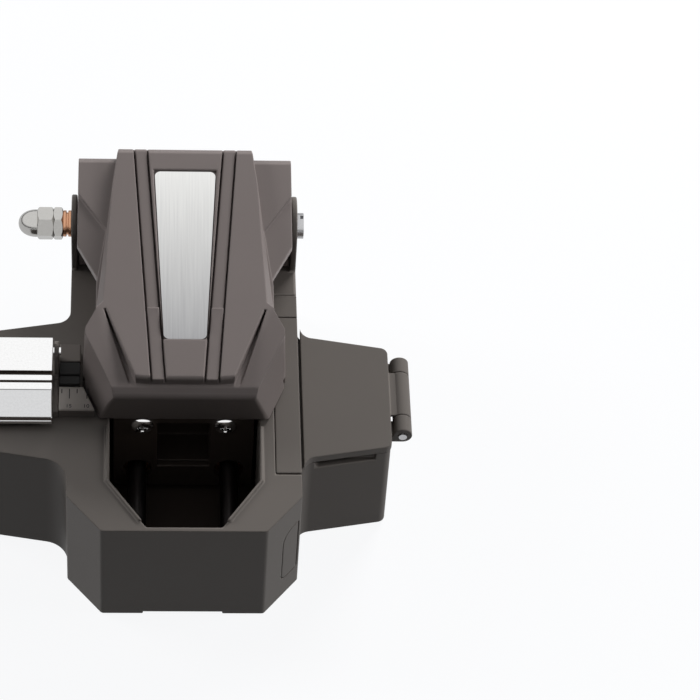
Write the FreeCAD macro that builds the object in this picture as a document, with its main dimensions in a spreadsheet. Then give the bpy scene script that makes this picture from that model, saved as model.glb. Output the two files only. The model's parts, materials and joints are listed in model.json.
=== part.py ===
"""Desk-top fibre cleaver: a geared, lever-driven blade carriage in a die-cast base.

Frame: +X to the right, +Y to the back, +Z up, millimetres. The origin is on the table,
midway between the ends, the front face and the back of the lever.
"""
import FreeCAD, Part
import math
import os
import re
import Sketcher

Vector = FreeCAD.Vector
X_AXIS = Vector(1, 0, 0)
Y_AXIS = Vector(0, 1, 0)
Z_AXIS = Vector(0, 0, 1)

DRIVING = {
    # base casting
    "front_y": -55.0, "back_y": 50.5, "deck_z": 36.0, "shell_low": 0.5,
    "column_half": 30.5, "front_half": 21.3, "chamfer_deep": 11.3,
    "wing_tip": 54.6, "wing_rake": 0.18, "wing_corner": 2.2, "front_edge_round": 1.2,
    "left_front_y": -28.2, "left_back_y": 11.4, "right_front_y": -24.0, "right_back_y": 9.8,
    "big_root_round": 7.0, "root_round": 4.0, "bay_top_z": 30.3, "wing_wall": 2.2,
    "toe_inner": 10.4, "toe_high": 0.6, "floor_thick": 2.4, "rib_half": 0.8,
    "tool_spare": 1.0,
    # carriage well
    "well_half": 19.6, "well_front_half": 9.9, "well_front_wall": 1.6, "well_corner_deep": 14.6,
    "well_back_wall": 2.5, "rim_wide": 0.9, "rim_high": 0.9, "rim_end_y": -20.5,
    "front_land": 3.04,
    # rear hinge
    "hinge_y": 42.5, "hinge_z": 45.7, "lug_round": 7.9, "cheek_thick": 1.5,
    "shaft_round": 3.0, "thread_round": 2.5, "running_gap": 0.05, "seat_gap": 0.02,
    "head_round": 3.5, "head_long": 1.9, "screw_slot": 1.2,
    "bush_round": 3.6, "bush_long": 2.4, "nut_flat": 8.0, "jam_long": 2.5,
    "acorn_hex_long": 4.3, "acorn_dome": 5.2, "acorn_neck": 1.3, "dome_round": 3.7,
    "thread_spare": 2.4,
    # deck covers on the right
    "cover_wide": 6.8, "cover_front_y": -35.9, "cover_split_y": 17.8,
    "cover_back_y": 25.7, "cover_thick": 1.6, "cover_gap": 0.2,
    # bottom closure
    "plate_half": 24.0, "plate_front_y": -50.0, "plate_back_y": 48.6, "plate_thick": 1.6,
    "well_floor": 1.4, "plate_ledge": 4.0, "bottom_screw_x": 21.6, "bottom_head": 2.0,
    "bottom_shank": 1.1, "bottom_head_long": 0.8, "bottom_shank_long": 5.0,
    "screw_front_y": -38.0, "screw_mid_y": 2.0, "screw_back_y": 36.0,
    "foot_x": 27.4, "foot_round": 3.0, "foot_thick": 1.7,
    "foot_front_y": -33.0, "foot_back_y": 41.0,
    # lever
    "skirt_low": 36.4, "lever_gap": 0.3, "lever_knee_y": 26.1, "waist_half": 23.4,
    "waist_back_y": 16.0, "waist_front_y": 1.7, "flare_half": 26.9, "flare_back_y": -4.5,
    "flare_front_y": -6.6, "nose_half": 19.6, "nose_y": -25.0, "draft_high": 66.0,
    "flare_half_high": 25.7, "flare_back_high_y": -2.9, "flare_front_high_y": -4.2,
    "nose_half_high": 13.1, "shoulder_z": 53.85, "top_slope": 7.7, "lever_back_y": 54.4,
    "lip_low_y": -18.6, "lip_high_y": -21.6, "lip_high_z": 49.2, "bevel_y": -19.6,
    "panel_high": 3.2, "strip_high": 2.6, "panel_front_y": -19.0, "panel_back_y": 55.0,
    "centre_front_half": 5.1, "centre_back_half": 10.4, "panel_front_half": 8.75,
    "panel_back_half": 13.95, "lever_wall": 2.4, "nose_wall_y": -15.4,
    "plate_front_half": 5.6, "plate_back_half": 8.25, "nameplate_front_y": -7.1,
    "nameplate_back_y": 46.1, "nameplate_thick": 0.8, "nameplate_sunk": 0.25,
    "nameplate_round": 1.6, "notch_half": 0.7, "notch_z": 39.8,
    # the lever's tail, from its top edge round to the skirt
    "tail_round_y": 3.0, "tail_lip_y": 0.8, "tail_lip_drop": 1.39, "tail_edge_drop": 3.4,
    "tail_low": 2.0, "tail_far_y": 8.0, "tail_far_drop": 3.4, "tail_near_y": 4.2,
    "tail_near_drop": 7.2, "tail_bottom": 8.4, "tail_start_y": 5.0,
    # outer edge of the raised panels, from front to back, and the slope beside them
    "panel_nose_x": 12.8, "panel_nose_step": 0.4, "panel_wide_x": 21.5, "panel_wide_y": 4.2,
    "panel_rear_x": 19.4, "panel_rear_y": 43.0, "panel_tail_x": 18.6, "panel_tail_y": 49.5,
    "panel_end_x": 17.8, "plateau_back_y": 2.4, "flank_groove": 1.1,
    "rear_round_y": 3.0, "rear_round_drop": 0.4, "rear_bend_y": 1.2, "rear_bend_drop": 1.2,
    "rear_edge_drop": 2.8, "rear_face_high": 8.0, "groove_wide": 0.45, "groove_deep": 2.2,
    # the ears beside the hinge and the facets on them
    "ear_low": 52.0, "ear_front_y": 33.0, "ear_lug_y": 35.5,
    "facet_inner_x": 21.1, "facet_back_y": 29.6, "facet_skew": 1.5, "facet_mid_y": 12.0,
    "facet_crease": 0.85, "facet_mid_drop": 2.2, "cavity_corner": 1.2, "cavity_shift": 1.0,
    "loft_spare": 4.0,
    # clamps at the cleaving line
    "fibre_y": -6.4, "fibre_z": 39.0, "clamp_inner": 3.2, "clamp_outer": 9.4,
    "clamp_half_deep": 6.0, "bridge_thick": 1.6, "bridge_wall": 0.5, "bridge_inner": 2.9,
    "pad_gap": 0.15, "upper_pad_thick": 2.3, "arm_half": 15.5, "arm_half_deep": 7.0,
    "arm_thick": 2.8, "anvil_half": 1.2, "anvil_deep": 2.0, "anvil_gap": 0.5,
    "boss_x": 12.6, "boss_round": 3.0, "arm_screw_head": 2.2, "arm_screw_head_long": 1.2,
    "arm_screw_shank": 1.2, "clamp_pad_inset": 1.0,
    # gears
    "gear_module": 0.8, "sector_teeth": 64.0, "idler_teeth": 18.0, "mesh_turn": 225.0,
    "backlash": 0.22, "tooth_root_gap": 0.2, "sector_left": -16.0, "gear_wide": 4.0,
    "gear_side_gap": 1.0, "sector_hub": 7.0, "idler_spare": 0.3, "idler_shaft_round": 1.5,
    "idler_collar_round": 2.6, "idler_collar_long": 1.0, "idler_seat_long": 3.0,
    "sector_first": -2.0, "sector_count": 12.0, "rack_first": -1.0, "rack_count": 12.0,
    "rack_back_high": 2.5, "rack_front_y": -2.0, "rack_foot_y": 9.0, "sector_arm_high": 11.0,
    "sector_arm_near": 2.0, "sector_arm_reach": 8.0, "sector_arm_low": 2.2,
    "sector_arm_back": 0.6,
    # carriage
    "rod_z": 11.0, "rod_round": 2.5, "rod_front_seat": 2.8,
    "bushing_wall": 1.5, "block_gap": 2.0, "block_front_y": -13.0, "block_back_y": 10.0,
    "block_low": 6.0, "block_high": 22.0, "face_gap": 1.0, "face_thick": 2.0,
    "face_low": 4.4, "face_high": 34.6, "window_half": 7.0, "window_low": 12.6,
    "window_high": 30.6, "face_corner": 2.0, "face_screw_x": 10.95, "face_screw_z": 30.4,
    "face_screw_head": 3.0, "face_screw_head_long": 1.8, "face_screw_shank": 1.4,
    "ear_deep": 3.0, "recess_deep": 9.2, "post_sunk": 1.0, "post_drop": 1.0,
    # blade
    "blade_radius": 8.0, "blade_half_thick": 2.0, "blade_bore": 1.26, "blade_land": 0.15,
    "bevel_start": 5.8, "ring_inner": 3.1, "hub_ring": 1.55, "ring_sunk": 0.15,
    "blade_rest": 11.2, "blade_bite": 0.1, "ear_half": 5.2, "ear_gap": 0.4,
    "ear_high_spare": 2.3, "blade_foot": 0.8, "fork_foot": 1.2, "blade_pin_head": 2.0,
    "blade_pin_head_long": 0.9, "pin_slot": 0.6,
    # fibre holder on the left wing
    "holder_left": -60.7, "holder_right": -33.0, "holder_front_y": -17.6,
    "holder_back_y": -0.2, "holder_top_z": 38.4, "ear_wide": 1.2, "holder_pin_y": -2.4,
    "holder_pin_z": 45.0, "holder_ear_round": 2.6, "holder_pin_round": 1.0,
    "holder_knuckle": 2.2, "lid_side_gap": 0.2, "holder_lid_low": 38.9,
    "holder_lid_high": 50.0, "lid_back_y": -1.9, "lid_shelf_z": 46.8,
    "holder_lip_low": 37.4, "lid_skirt_gap": 0.3,
    "pad_right": -36.4, "pad_left": -57.4, "pad_half_deep": 3.0,
    "pad_sunk": 0.9, "pad_proud": 0.15, "holder_groove": 0.5, "lid_rear_gap": 0.2,
    # the holder lid's front, from its top down: groove, two ridges, sloping face, lip
    "groove_y": -13.2, "groove_front_y": -14.2, "groove_z": 48.6, "ridge_y": -14.8,
    "ridge_rear_z": 49.4, "ridge_z": 49.7, "ridge_front_y": -15.8, "ridge_front_z": 49.2,
    "dip_y": -16.2, "dip_z": 48.3, "brow_y": -17.2, "brow_z": 48.1, "face_top_y": -17.9,
    "face_top_z": 47.2, "face_foot_y": -20.4, "face_foot_z": 39.3, "lip_y": -21.2,
    "lip_top_z": 38.8,
    "platform_right": -27.5, "platform_back_y": 4.4, "platform_front_y": -17.4,
    "platform_nose_x": -23.5, "platform_knee_y": -7.2, "ruler_thick": 0.6,
    "ruler_back_y": -9.6, "guide_thick": 1.6, "guide_front_y": -9.4, "guide_back_y": -2.1,
    "guide_groove": 0.45, "stop_front_y": -1.7, "stop_back_y": 4.2, "piece_inset": 0.1,
    # scrap bin in the right wing
    "bay_wall": 1.8, "bin_gap": 0.3, "bin_wall": 1.2, "bin_high": 29.8, "lid_left_gap": 0.9,
    "lid_thick": 2.1, "lid_right": 54.8, "barrel_x": 58.05, "barrel_z": 29.3,
    "barrel_round": 2.5, "barrel_pin": 1.1, "barrel_front_y": -17.7, "barrel_mid_y": -12.4,
    "barrel_rear_y": 2.6, "barrel_back_y": 7.6, "barrel_gap": 0.2, "web_thick": 0.8,
    "pin_proud": 0.5, "grip_left": 34.6, "grip_right": 50.5, "grip_high": 2.4,
    "grip_deep": 1.1, "web_reach": 2.0, "lid_flare": 3.6,
    # release button in the right front chamfer
    "button_near": 7.4, "button_far": 13.6, "button_low": 7.5, "button_high": 27.0,
    "button_deep": 3.4, "button_gap": 0.25, "button_round": 4.4, "button_low_round": 1.8,
    "spring_seat": 2.2,
}

doc = FreeCAD.newDocument("fibre_cleaver")
sheet = doc.addObject("Spreadsheet::Sheet", "sizes")
for row, (alias, value) in enumerate(DRIVING.items(), start=1):
    sheet.set(f"A{row}", alias)
    sheet.set(f"B{row}", repr(value))
    sheet.setAlias(f"B{row}", alias)
doc.recompute()

NAME = re.compile(r"[a-z]+(?:_[a-z]+)*")

# the plane of the right front chamfer, as a turned and moved XZ plane
CHAMFER = {"turn": "atan(chamfer_deep/(column_half - front_half))",
           "shift": "front_half", "lift": "-front_y"}
FAR = "90"          # farther out than any edge, in millimetres, for outlines that only cut
CLOSE = 0.05        # edges this near to a place, in millimetres, are taken as standing there
SIDES = ("-1", "1")
QUARTER = range(0, 91, 18)      # the corners of a quarter turn, in degrees
nodes = []

# sizes that follow others: the lever between its cheeks, the carriage in its well and its rods
# midway between window and side, the clamp bridges beside the deck covers, and the covers,
# the scrap bay and the bin's lid beside the column's right wall
LEVER_HALF = "(column_half - cheek_thick - lever_gap)"
BLOCK_HALF = "(well_half - block_gap)"
FACE_HALF = "(well_half - face_gap)"
ROD_X = "((window_half + well_half - block_gap)/2)"
COVER_LEFT = "(column_half - cover_wide)"
BRIDGE_OUTER = "(column_half - cover_wide - bridge_wall)"
BAY_LEFT = "(column_half + bay_wall)"
LID_LEFT = "(column_half + lid_left_gap)"


# ---------------------------------------------------------------- helpers

def words(text):
    """Point every size word of an expression at its cell."""
    def cell(match):
        word = match.group(0)
        return f"sizes.{word}" if word in DRIVING else word
    return NAME.sub(cell, str(text))


def size(text):
    """The present value of an expression in the sheet's words."""
    return float(sheet.evalExpression(str(text)))


def bind(thing, **properties):
    """Bind properties of an object to expressions in the sheet's words."""
    for name, text in properties.items():
        thing.setExpression(name.replace("__", "."), words(text))
    return thing


def place(thing, x="0", y="0", z="0"):
    """Bind where an object stands."""
    for letter, text in zip("xyz", (x, y, z)):
        thing.setExpression(f"Placement.Base.{letter}", words(text))
    return thing


def new_body(label, x="0", y="0", z="0"):
    body = doc.addObject("PartDesign::Body", label)
    return place(body, x, y, z)


def finish(thing, label):
    """Count a finished object as a sub-part of this name."""
    thing.Label = label
    nodes.append(thing)
    return thing


def sketch(body, role, loops, lift="0", turn="0", slope="0", shift="0"):
    """A sketch on an origin plane: polygons as corner lists, circles as (x, y, radius)."""
    drawing = body.newObject("Sketcher::SketchObject", f"{body.Name}_outline")
    plane = next(p for p in body.Origin.OriginFeatures if p.Role == role)
    drawing.AttachmentSupport = [(plane, "")]
    drawing.MapMode = "FlatFace"
    for angle, axis in ((turn, Y_AXIS), (slope, X_AXIS)):
        if angle != "0":
            drawing.AttachmentOffset = FreeCAD.Placement(Z_AXIS, FreeCAD.Rotation(axis, 1))
            drawing.setExpression("AttachmentOffset.Rotation.Angle", words(angle))
    if shift != "0":
        drawing.setExpression("AttachmentOffset.Base.x", words(shift))
    drawing.setExpression("AttachmentOffset.Base.z", words(lift))
    for loop in loops:
        if isinstance(loop, tuple):
            add_circle(drawing, *loop)
        else:
            add_polygon(drawing, loop)
    return drawing


def pin_point(drawing, element, point, where):
    """Hold one point of a sketch at a pair of expressions."""
    for kind, text in zip(("DistanceX", "DistanceY"), where):
        index = drawing.addConstraint(Sketcher.Constraint(kind, -1, 1, element, point, size(text)))
        drawing.setExpression(f"Constraints[{index}]", words(text))


def add_circle(drawing, x, y, radius):
    centre = Vector(size(x), size(y), 0)
    ring = drawing.addGeometry(Part.Circle(centre, Z_AXIS, size(radius)), False)
    pin_point(drawing, ring, 3, (x, y))
    index = drawing.addConstraint(Sketcher.Constraint("Radius", ring, size(radius)))
    drawing.setExpression(f"Constraints[{index}]", words(radius))


def add_polygon(drawing, corners):
    first = drawing.GeometryCount
    ends = [Vector(size(x), size(y), 0) for x, y in corners]
    for near, far in zip(ends, ends[1:] + ends[:1]):
        drawing.addGeometry(Part.LineSegment(near, far), False)
    count = len(corners)
    for step in range(count):
        following = first + (step + 1) % count
        drawing.addConstraint(Sketcher.Constraint("Coincident", first + step, 2, following, 1))
    for step, corner in enumerate(corners):
        pin_point(drawing, first + step, 1, corner)


def pad(body, drawing, length, down=False):
    feature = body.newObject("PartDesign::Pad", f"{body.Name}_pad")
    feature.Profile = drawing
    feature.Reversed = down
    return bind(feature, Length=length)


def spin(body, drawing):
    """Turn a profile once round the body's X axis."""
    feature = body.newObject("PartDesign::Revolution", f"{body.Name}_turned")
    feature.Profile = drawing
    feature.ReferenceAxis = origin_axis(body, "X_Axis")
    feature.Angle = 360
    return feature


def cut(body, drawing, length=None, up=False, both=False):
    """A pocket. It goes against the sketch's normal, or along it with up."""
    feature = body.newObject("PartDesign::Pocket", f"{body.Name}_cut")
    feature.Profile = drawing
    feature.Reversed = up
    feature.Midplane = both
    if length is None:
        feature.Type = 1
        return feature
    return bind(feature, Length=length)


def rounded(body, radius, wanted, kind="Fillet"):
    """Round (or chamfer) the edges of the body that a test picks."""
    doc.recompute()
    tip = body.Tip
    picked = [f"Edge{n}" for n, edge in enumerate(tip.Shape.Edges, start=1) if wanted(edge)]
    feature = body.newObject(f"PartDesign::{kind}", f"{body.Name}_round")
    feature.Base = (tip, picked)
    key = "Radius" if kind == "Fillet" else "Size"
    return bind(feature, **{key: radius})


def upright(edge, x=None, y=None):
    """True for a vertical straight edge at this distance from the middle and this y."""
    low, high = edge.Vertexes[0].Point, edge.Vertexes[-1].Point
    if abs(low.x - high.x) > CLOSE or abs(low.y - high.y) > CLOSE:
        return False
    near_x = x is None or abs(abs(low.x) - x) < CLOSE
    near_y = y is None or abs(low.y - y) < CLOSE
    return near_x and near_y


def box(x, y, z):
    """A Part box between pairs of expressions."""
    block = doc.addObject("Part::Box", "block")
    length, width, height = (f"{far} - ({near})" for near, far in (x, y, z))
    bind(block, Length=length, Width=width, Height=height)
    return place(block, x[0], y[0], z[0])


TURNS = {"x": FreeCAD.Rotation(Y_AXIS, 90), "y": FreeCAD.Rotation(X_AXIS, -90),
         "z": FreeCAD.Rotation()}


def rod(axis, start, radius, length):
    """A Part cylinder from a start point along an axis."""
    bar = doc.addObject("Part::Cylinder", "bar")
    bar.Placement = FreeCAD.Placement(Vector(), TURNS[axis])
    bind(bar, Radius=radius, Height=length)
    return place(bar, *start)


def joined(*pieces):
    if len(pieces) == 1:
        return pieces[0]
    whole = doc.addObject("Part::MultiFuse", "joined")
    whole.Shapes = list(pieces)
    whole.Refine = True
    return whole


def less(base, *tools):
    rest = doc.addObject("Part::Cut", "rest")
    rest.Base = base
    rest.Tool = joined(*tools)
    return rest


def together(*pieces):
    """Separate solids that share one node."""
    group = doc.addObject("Part::Compound", "group")
    group.Links = list(pieces)
    return group


def prism(corners, length):
    """An upright prism over a flat polygon in space."""
    outline = Part.makePolygon([*corners, corners[0]])
    return Part.Face(outline).extrude(length)


def both_sides(points):
    """Mirror the right half of an outline, listed from front to back, to the left."""
    return points + [(f"-({x})", y) for x, y in reversed(points)]


def rectangle(x, y):
    """Corners of a rectangle between pairs of expressions."""
    return [(x[0], y[0]), (x[1], y[0]), (x[1], y[1]), (x[0], y[1])]


def pair(x, y, radius):
    """The same circle on both sides of the middle."""
    return [(f"{side}*{x}", y, radius) for side in SIDES]


def origin_axis(body, role):
    """One of a body's own axes, to spin a profile about."""
    return next(axis for axis in body.Origin.OriginFeatures if axis.Role == role), [""]


# ---------------------------------------------------------------- base casting

def wing(body, side, front_y, back_y, top):
    """A side wing: a raked slab from inside the column to its tip."""
    rake = "wing_rake*(wing_tip - rib_half)"
    tip = f"{side}*wing_tip"
    root = f"{side}*rib_half"
    corners = [(root, f"{front_y} - {rake}"), (tip, front_y),
               (tip, back_y), (root, f"{back_y} + {rake}")]
    pad(body, sketch(body, "XY_Plane", [corners], "shell_low"), f"{top} - shell_low")


def well_outline(grow="0", back="back_y - well_back_wall"):
    """The carriage well: a channel with cut front corners."""
    return both_sides([
        (f"well_front_half + {grow}", "front_y + well_front_wall"),
        (f"well_half + {grow}", "front_y + well_front_wall + well_corner_deep"),
        (f"well_half + {grow}", back),
    ])


def round_base(body):
    """Round the wing roots, the wing tips and the column's own corners."""
    half = size("column_half")
    rake = size("wing_rake*(wing_tip - column_half)")
    big_root = size("left_front_y") - rake
    small_roots = [size("left_back_y") + rake, size("right_front_y") - rake,
                   size("right_back_y") + rake]
    front, back = size("front_y"), size("back_y")
    corner = size("front_y + chamfer_deep")
    rounded(body, "big_root_round", lambda e: upright(e, half, big_root))
    rounded(body, "root_round", lambda e: any(upright(e, half, y) for y in small_roots))
    rounded(body, "wing_corner", lambda e: upright(e, size("wing_tip")))
    rounded(body, "front_edge_round", lambda e: upright(e, None, front) or upright(e, half, corner))
    rounded(body, "front_edge_round", lambda e: upright(e, half, back))


def cut_well(body):
    """The carriage well with its raised rim, open below behind the front ledge."""
    rim = well_outline("rim_wide", "rim_end_y")
    pad(body, sketch(body, "XY_Plane", [rim], "deck_z"), "rim_high")
    well = sketch(body, "XY_Plane", [well_outline()], "deck_z + rim_high")
    cut(body, well, "deck_z + rim_high - shell_low - plate_thick - well_floor")
    wide = ("-well_half", "well_half")
    hatch = rectangle(wide, ("plate_front_y + plate_ledge", "back_y - well_back_wall"))
    cut(body, sketch(body, "XY_Plane", [hatch], "shell_low + plate_thick + well_floor"))
    land = rectangle(wide, ("front_y", "front_y + front_land"))
    cut(body, sketch(body, "XY_Plane", [land], "deck_z"), "rim_high", up=True)


def cut_wings(body):
    """The scrap bay, open above, and the left wing's hollow, open below."""
    rake = f"wing_rake*(wing_tip - {BAY_LEFT})"
    bay = [(BAY_LEFT, f"right_front_y - {rake} + wing_wall"),
           ("wing_tip - wing_wall", "right_front_y + wing_wall"),
           ("wing_tip - wing_wall", "right_back_y - wing_wall"),
           (BAY_LEFT, f"right_back_y + {rake} - wing_wall")]
    cut(body, sketch(body, "XY_Plane", [bay], "bay_top_z"), "bay_top_z - shell_low - floor_thick")
    hollow = rectangle(("wing_wall - wing_tip", "wing_wall - column_half"),
                       ("left_front_y + wing_wall", "left_back_y - wing_wall"))
    cut(body, sketch(body, "XY_Plane", [hollow], "shell_low"), "deck_z - shell_low - floor_thick", up=True)
    rake = "wing_rake*(wing_tip - grip_left)"
    slot = rectangle(("grip_left", "grip_right"), ("bay_top_z - grip_high", "bay_top_z"))
    start = f"-(right_front_y - {rake}) + tool_spare"
    cut(body, sketch(body, "XZ_Plane", [slot], start),
        "grip_deep + tool_spare + wing_rake*(grip_right - grip_left)")


def cut_underside(body):
    """The recess of the bottom plate, the seats of the feet, the screw holes and the toes' relief."""
    under = rectangle(("-plate_half", "plate_half"), ("plate_front_y", "plate_back_y"))
    cut(body, sketch(body, "XY_Plane", [under], "shell_low"), "plate_thick + shell_low", up=True)
    feet = [(x, y, "foot_round + seat_gap") for x, y in foot_places()]
    cut(body, sketch(body, "XY_Plane", feet, "shell_low"), "foot_thick - shell_low", up=True)
    screws = [(x, y, "bottom_shank + seat_gap") for x, y in bottom_screw_places()]
    cut(body, sketch(body, "XY_Plane", screws, "plate_thick"), "bottom_shank_long + shell_low", up=True)
    relief = rectangle(("-toe_inner", "toe_inner"), ("shell_low", "shell_low + toe_high"))
    cut(body, sketch(body, "XZ_Plane", [relief], "-front_y"), "plate_front_y - front_y + rim_wide")


def bore_base(body):
    """The bores of the hinge shaft, the guide rods and the idler's shaft."""
    hinge = ("hinge_y", "hinge_z", "shaft_round + seat_gap")
    cut(body, sketch(body, "YZ_Plane", [hinge]), both=True)
    rods = pair(ROD_X, "rod_z", "rod_round + seat_gap")
    cut(body, sketch(body, "XZ_Plane", rods, "-back_y"), "back_y - front_y - rod_front_seat", up=True)
    idler = (IDLER_Y, IDLER_Z, "idler_shaft_round + seat_gap")
    cut(body, sketch(body, "YZ_Plane", [idler]), "2*(well_half + idler_seat_long)", both=True)


def add_bin_barrels(body):
    """The two outer barrels of the bin lid's hinge, on arms from the right wing's tip."""
    for near, far in (("barrel_front_y", "barrel_mid_y"), ("barrel_rear_y", "barrel_back_y")):
        arm = rectangle(("wing_tip - wing_wall", "barrel_x"), ("barrel_z - barrel_round", "barrel_z"))
        for outline in (arm, ("barrel_x", "barrel_z", "barrel_round")):
            pad(body, sketch(body, "XZ_Plane", [outline], f"-({far})"), f"{far} - ({near})")
    cut_barrel_bore(body, "seat_gap")


def cut_barrel_bore(body, gap):
    """The bin hinge's bore, through every barrel of one piece."""
    hole = [("barrel_x", "barrel_z", f"barrel_pin + {gap}")]
    cut(body, sketch(body, "XZ_Plane", hole, "-barrel_back_y - tool_spare"),
        "barrel_back_y - barrel_front_y + 2*tool_spare", up=True)


def make_base_shell():
    body = new_body("base_casting")
    column = both_sides([
        ("front_half", "front_y"),
        ("column_half", "front_y + chamfer_deep"),
        ("column_half", "back_y"),
    ])
    pad(body, sketch(body, "XY_Plane", [column], "shell_low"), "deck_z - shell_low")
    wing(body, "-1", "left_front_y", "left_back_y", "deck_z")
    wing(body, "1", "right_front_y", "right_back_y", "bay_top_z")
    round_base(body)

    for side in ("-column_half", "column_half - cheek_thick"):
        foot = rectangle(("hinge_y - lug_round", "hinge_y + lug_round"), ("deck_z - rim_wide", "hinge_z"))
        for outline in (foot, ("hinge_y", "hinge_z", "lug_round")):
            pad(body, sketch(body, "YZ_Plane", [outline], side), "cheek_thick")

    cut_well(body)
    cut_wings(body)
    covers = rectangle((COVER_LEFT, "column_half + tool_spare"), ("cover_front_y", "cover_back_y"))
    cut(body, sketch(body, "XY_Plane", [covers], "deck_z"), "cover_thick")
    for side in SIDES:
        seat = rectangle((f"{side}*(well_half - rim_wide)", f"{side}*{BRIDGE_OUTER}"),
                         ("fibre_y - clamp_half_deep", "fibre_y + clamp_half_deep"))
        cut(body, sketch(body, "XY_Plane", [seat], "deck_z"), "bridge_thick")
    cut_underside(body)
    bore_base(body)
    face = sketch(body, "XZ_Plane", [button_outline("button_gap")], **CHAMFER)
    cut(body, face, "button_deep + button_gap + spring_seat")
    add_bin_barrels(body)
    return finish(body, "base_shell")


def bottom_screw_places():
    return [(f"{side}*bottom_screw_x", y) for side in SIDES
            for y in ("screw_front_y", "screw_mid_y", "screw_back_y")]


def foot_places():
    return [(f"{side}*foot_x", y) for side in SIDES for y in ("foot_front_y", "foot_back_y")]


def make_bottom():
    plate = box(("-plate_half + cover_gap", "plate_half - cover_gap"),
                ("plate_front_y + cover_gap", "plate_back_y - cover_gap"),
                ("shell_low", "shell_low + plate_thick"))
    holes = []
    screws = []
    for x, y in bottom_screw_places():
        low = (x, y, "shell_low")
        neck = (x, y, "shell_low + bottom_head_long")
        holes.append(rod("z", low, "bottom_head + seat_gap", "bottom_head_long"))
        holes.append(rod("z", neck, "bottom_shank + seat_gap", "plate_thick"))
        screws.append(joined(rod("z", low, "bottom_head", "bottom_head_long"),
                             rod("z", neck, "bottom_shank", "bottom_shank_long - bottom_head_long")))
    finish(less(plate, *holes), "bottom_plate")
    finish(together(*screws), "bottom_screws")
    feet = [rod("z", (x, y, "0"), "foot_round", "foot_thick") for x, y in foot_places()]
    finish(together(*feet), "rubber_feet")


def make_covers():
    for label, near, far in (("drive_cover", "cover_front_y", "cover_split_y"),
                             ("rear_cover", "cover_split_y", "cover_back_y")):
        finish(box((f"{COVER_LEFT} + cover_gap", "column_half"),
                   (f"{near} + cover_gap", f"{far} - cover_gap"),
                   ("deck_z - cover_thick", "deck_z")), label)


# ---------------------------------------------------------------- rear hinge

def hexagon(flat):
    """Corners of a hexagon with flats above and below, about the axis."""
    return [(f"{flat}/sqrt(3)*cos({turn})", f"{flat}/sqrt(3)*sin({turn})")
            for turn in range(0, 360, 60)]


def make_hinge():
    inside = "column_half"
    shaft = rod("x", (f"-{inside}", "hinge_y", "hinge_z"), "shaft_round", f"2*{inside}")
    thread_long = "bush_long + jam_long + acorn_hex_long + acorn_dome - thread_spare"
    thread = rod("x", (f"-{inside} - ({thread_long})", "hinge_y", "hinge_z"), "thread_round", thread_long)
    head = rod("x", (inside, "hinge_y", "hinge_z"), "head_round", "head_long")
    slot = box((f"{inside} + head_long/2", f"{inside} + head_long + tool_spare"),
               ("hinge_y - screw_slot/2", "hinge_y + screw_slot/2"),
               ("hinge_z - head_round - tool_spare", "hinge_z + head_round + tool_spare"))
    finish(less(joined(shaft, thread, head), slot), "hinge_shaft")

    bush_left = f"-{inside} - bush_long"
    ring = rod("x", (bush_left, "hinge_y", "hinge_z"), "bush_round", "bush_long")
    bore = rod("x", (bush_left, "hinge_y", "hinge_z"), "thread_round + seat_gap", "bush_long")
    finish(less(ring, bore), "shaft_bush")

    jam = new_body("jam_nut", f"{bush_left} - jam_long", "hinge_y", "hinge_z")
    jam_outline = [hexagon("nut_flat"), ("0", "0", "thread_round + seat_gap")]
    pad(jam, sketch(jam, "YZ_Plane", jam_outline), "jam_long")
    finish(jam, "jam_nut")

    acorn = new_body("acorn_nut", f"{bush_left} - jam_long - acorn_hex_long", "hinge_y", "hinge_z")
    pad(acorn, sketch(acorn, "YZ_Plane", [hexagon("nut_flat")]), "acorn_hex_long")
    dome = [("0", "0"), ("0", "dome_round")]
    dome += [(f"-acorn_neck - (acorn_dome - acorn_neck)*sin({turn})", f"dome_round*cos({turn})")
             for turn in range(0, 91, 15)]
    spin(acorn, sketch(acorn, "XZ_Plane", [dome]))
    bore = sketch(acorn, "YZ_Plane", [("0", "0", "thread_round + seat_gap")], "acorn_hex_long")
    cut(acorn, bore, "acorn_hex_long + acorn_dome - thread_spare + seat_gap")
    finish(acorn, "acorn_nut")


# ---------------------------------------------------------------- lever

def lever_plan(high):
    """The lever's outline from above, at its skirt or far up, where the draft has narrowed it."""
    tail = "_high" if high else ""
    return both_sides([
        (f"nose_half{tail}", "nose_y"),
        (f"flare_half{tail}", f"flare_front{tail}_y"),
        (f"flare_half{tail}", f"flare_back{tail}_y"),
        ("waist_half", "waist_front_y"),
        ("waist_half", "waist_back_y"),
        (LEVER_HALF, "lever_knee_y"),
        (LEVER_HALF, "lever_back_y + loft_spare"),
    ])


def shoulder(y, drop="0"):
    """Height of the lever's sloping shoulder at y."""
    return f"shoulder_z + tan(top_slope)*({y}) - {drop}"


def ridge(y, drop="0"):
    """Height of the raised panels' tops at y."""
    return f"shoulder_z + panel_high/cos(top_slope) + tan(top_slope)*({y}) - {drop}"


# a panel stands square on the slope, so its top edges lie this far in front of its foot
PLATEAU_TOP_Y = "(plateau_back_y - panel_high*sin(top_slope))"


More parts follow.
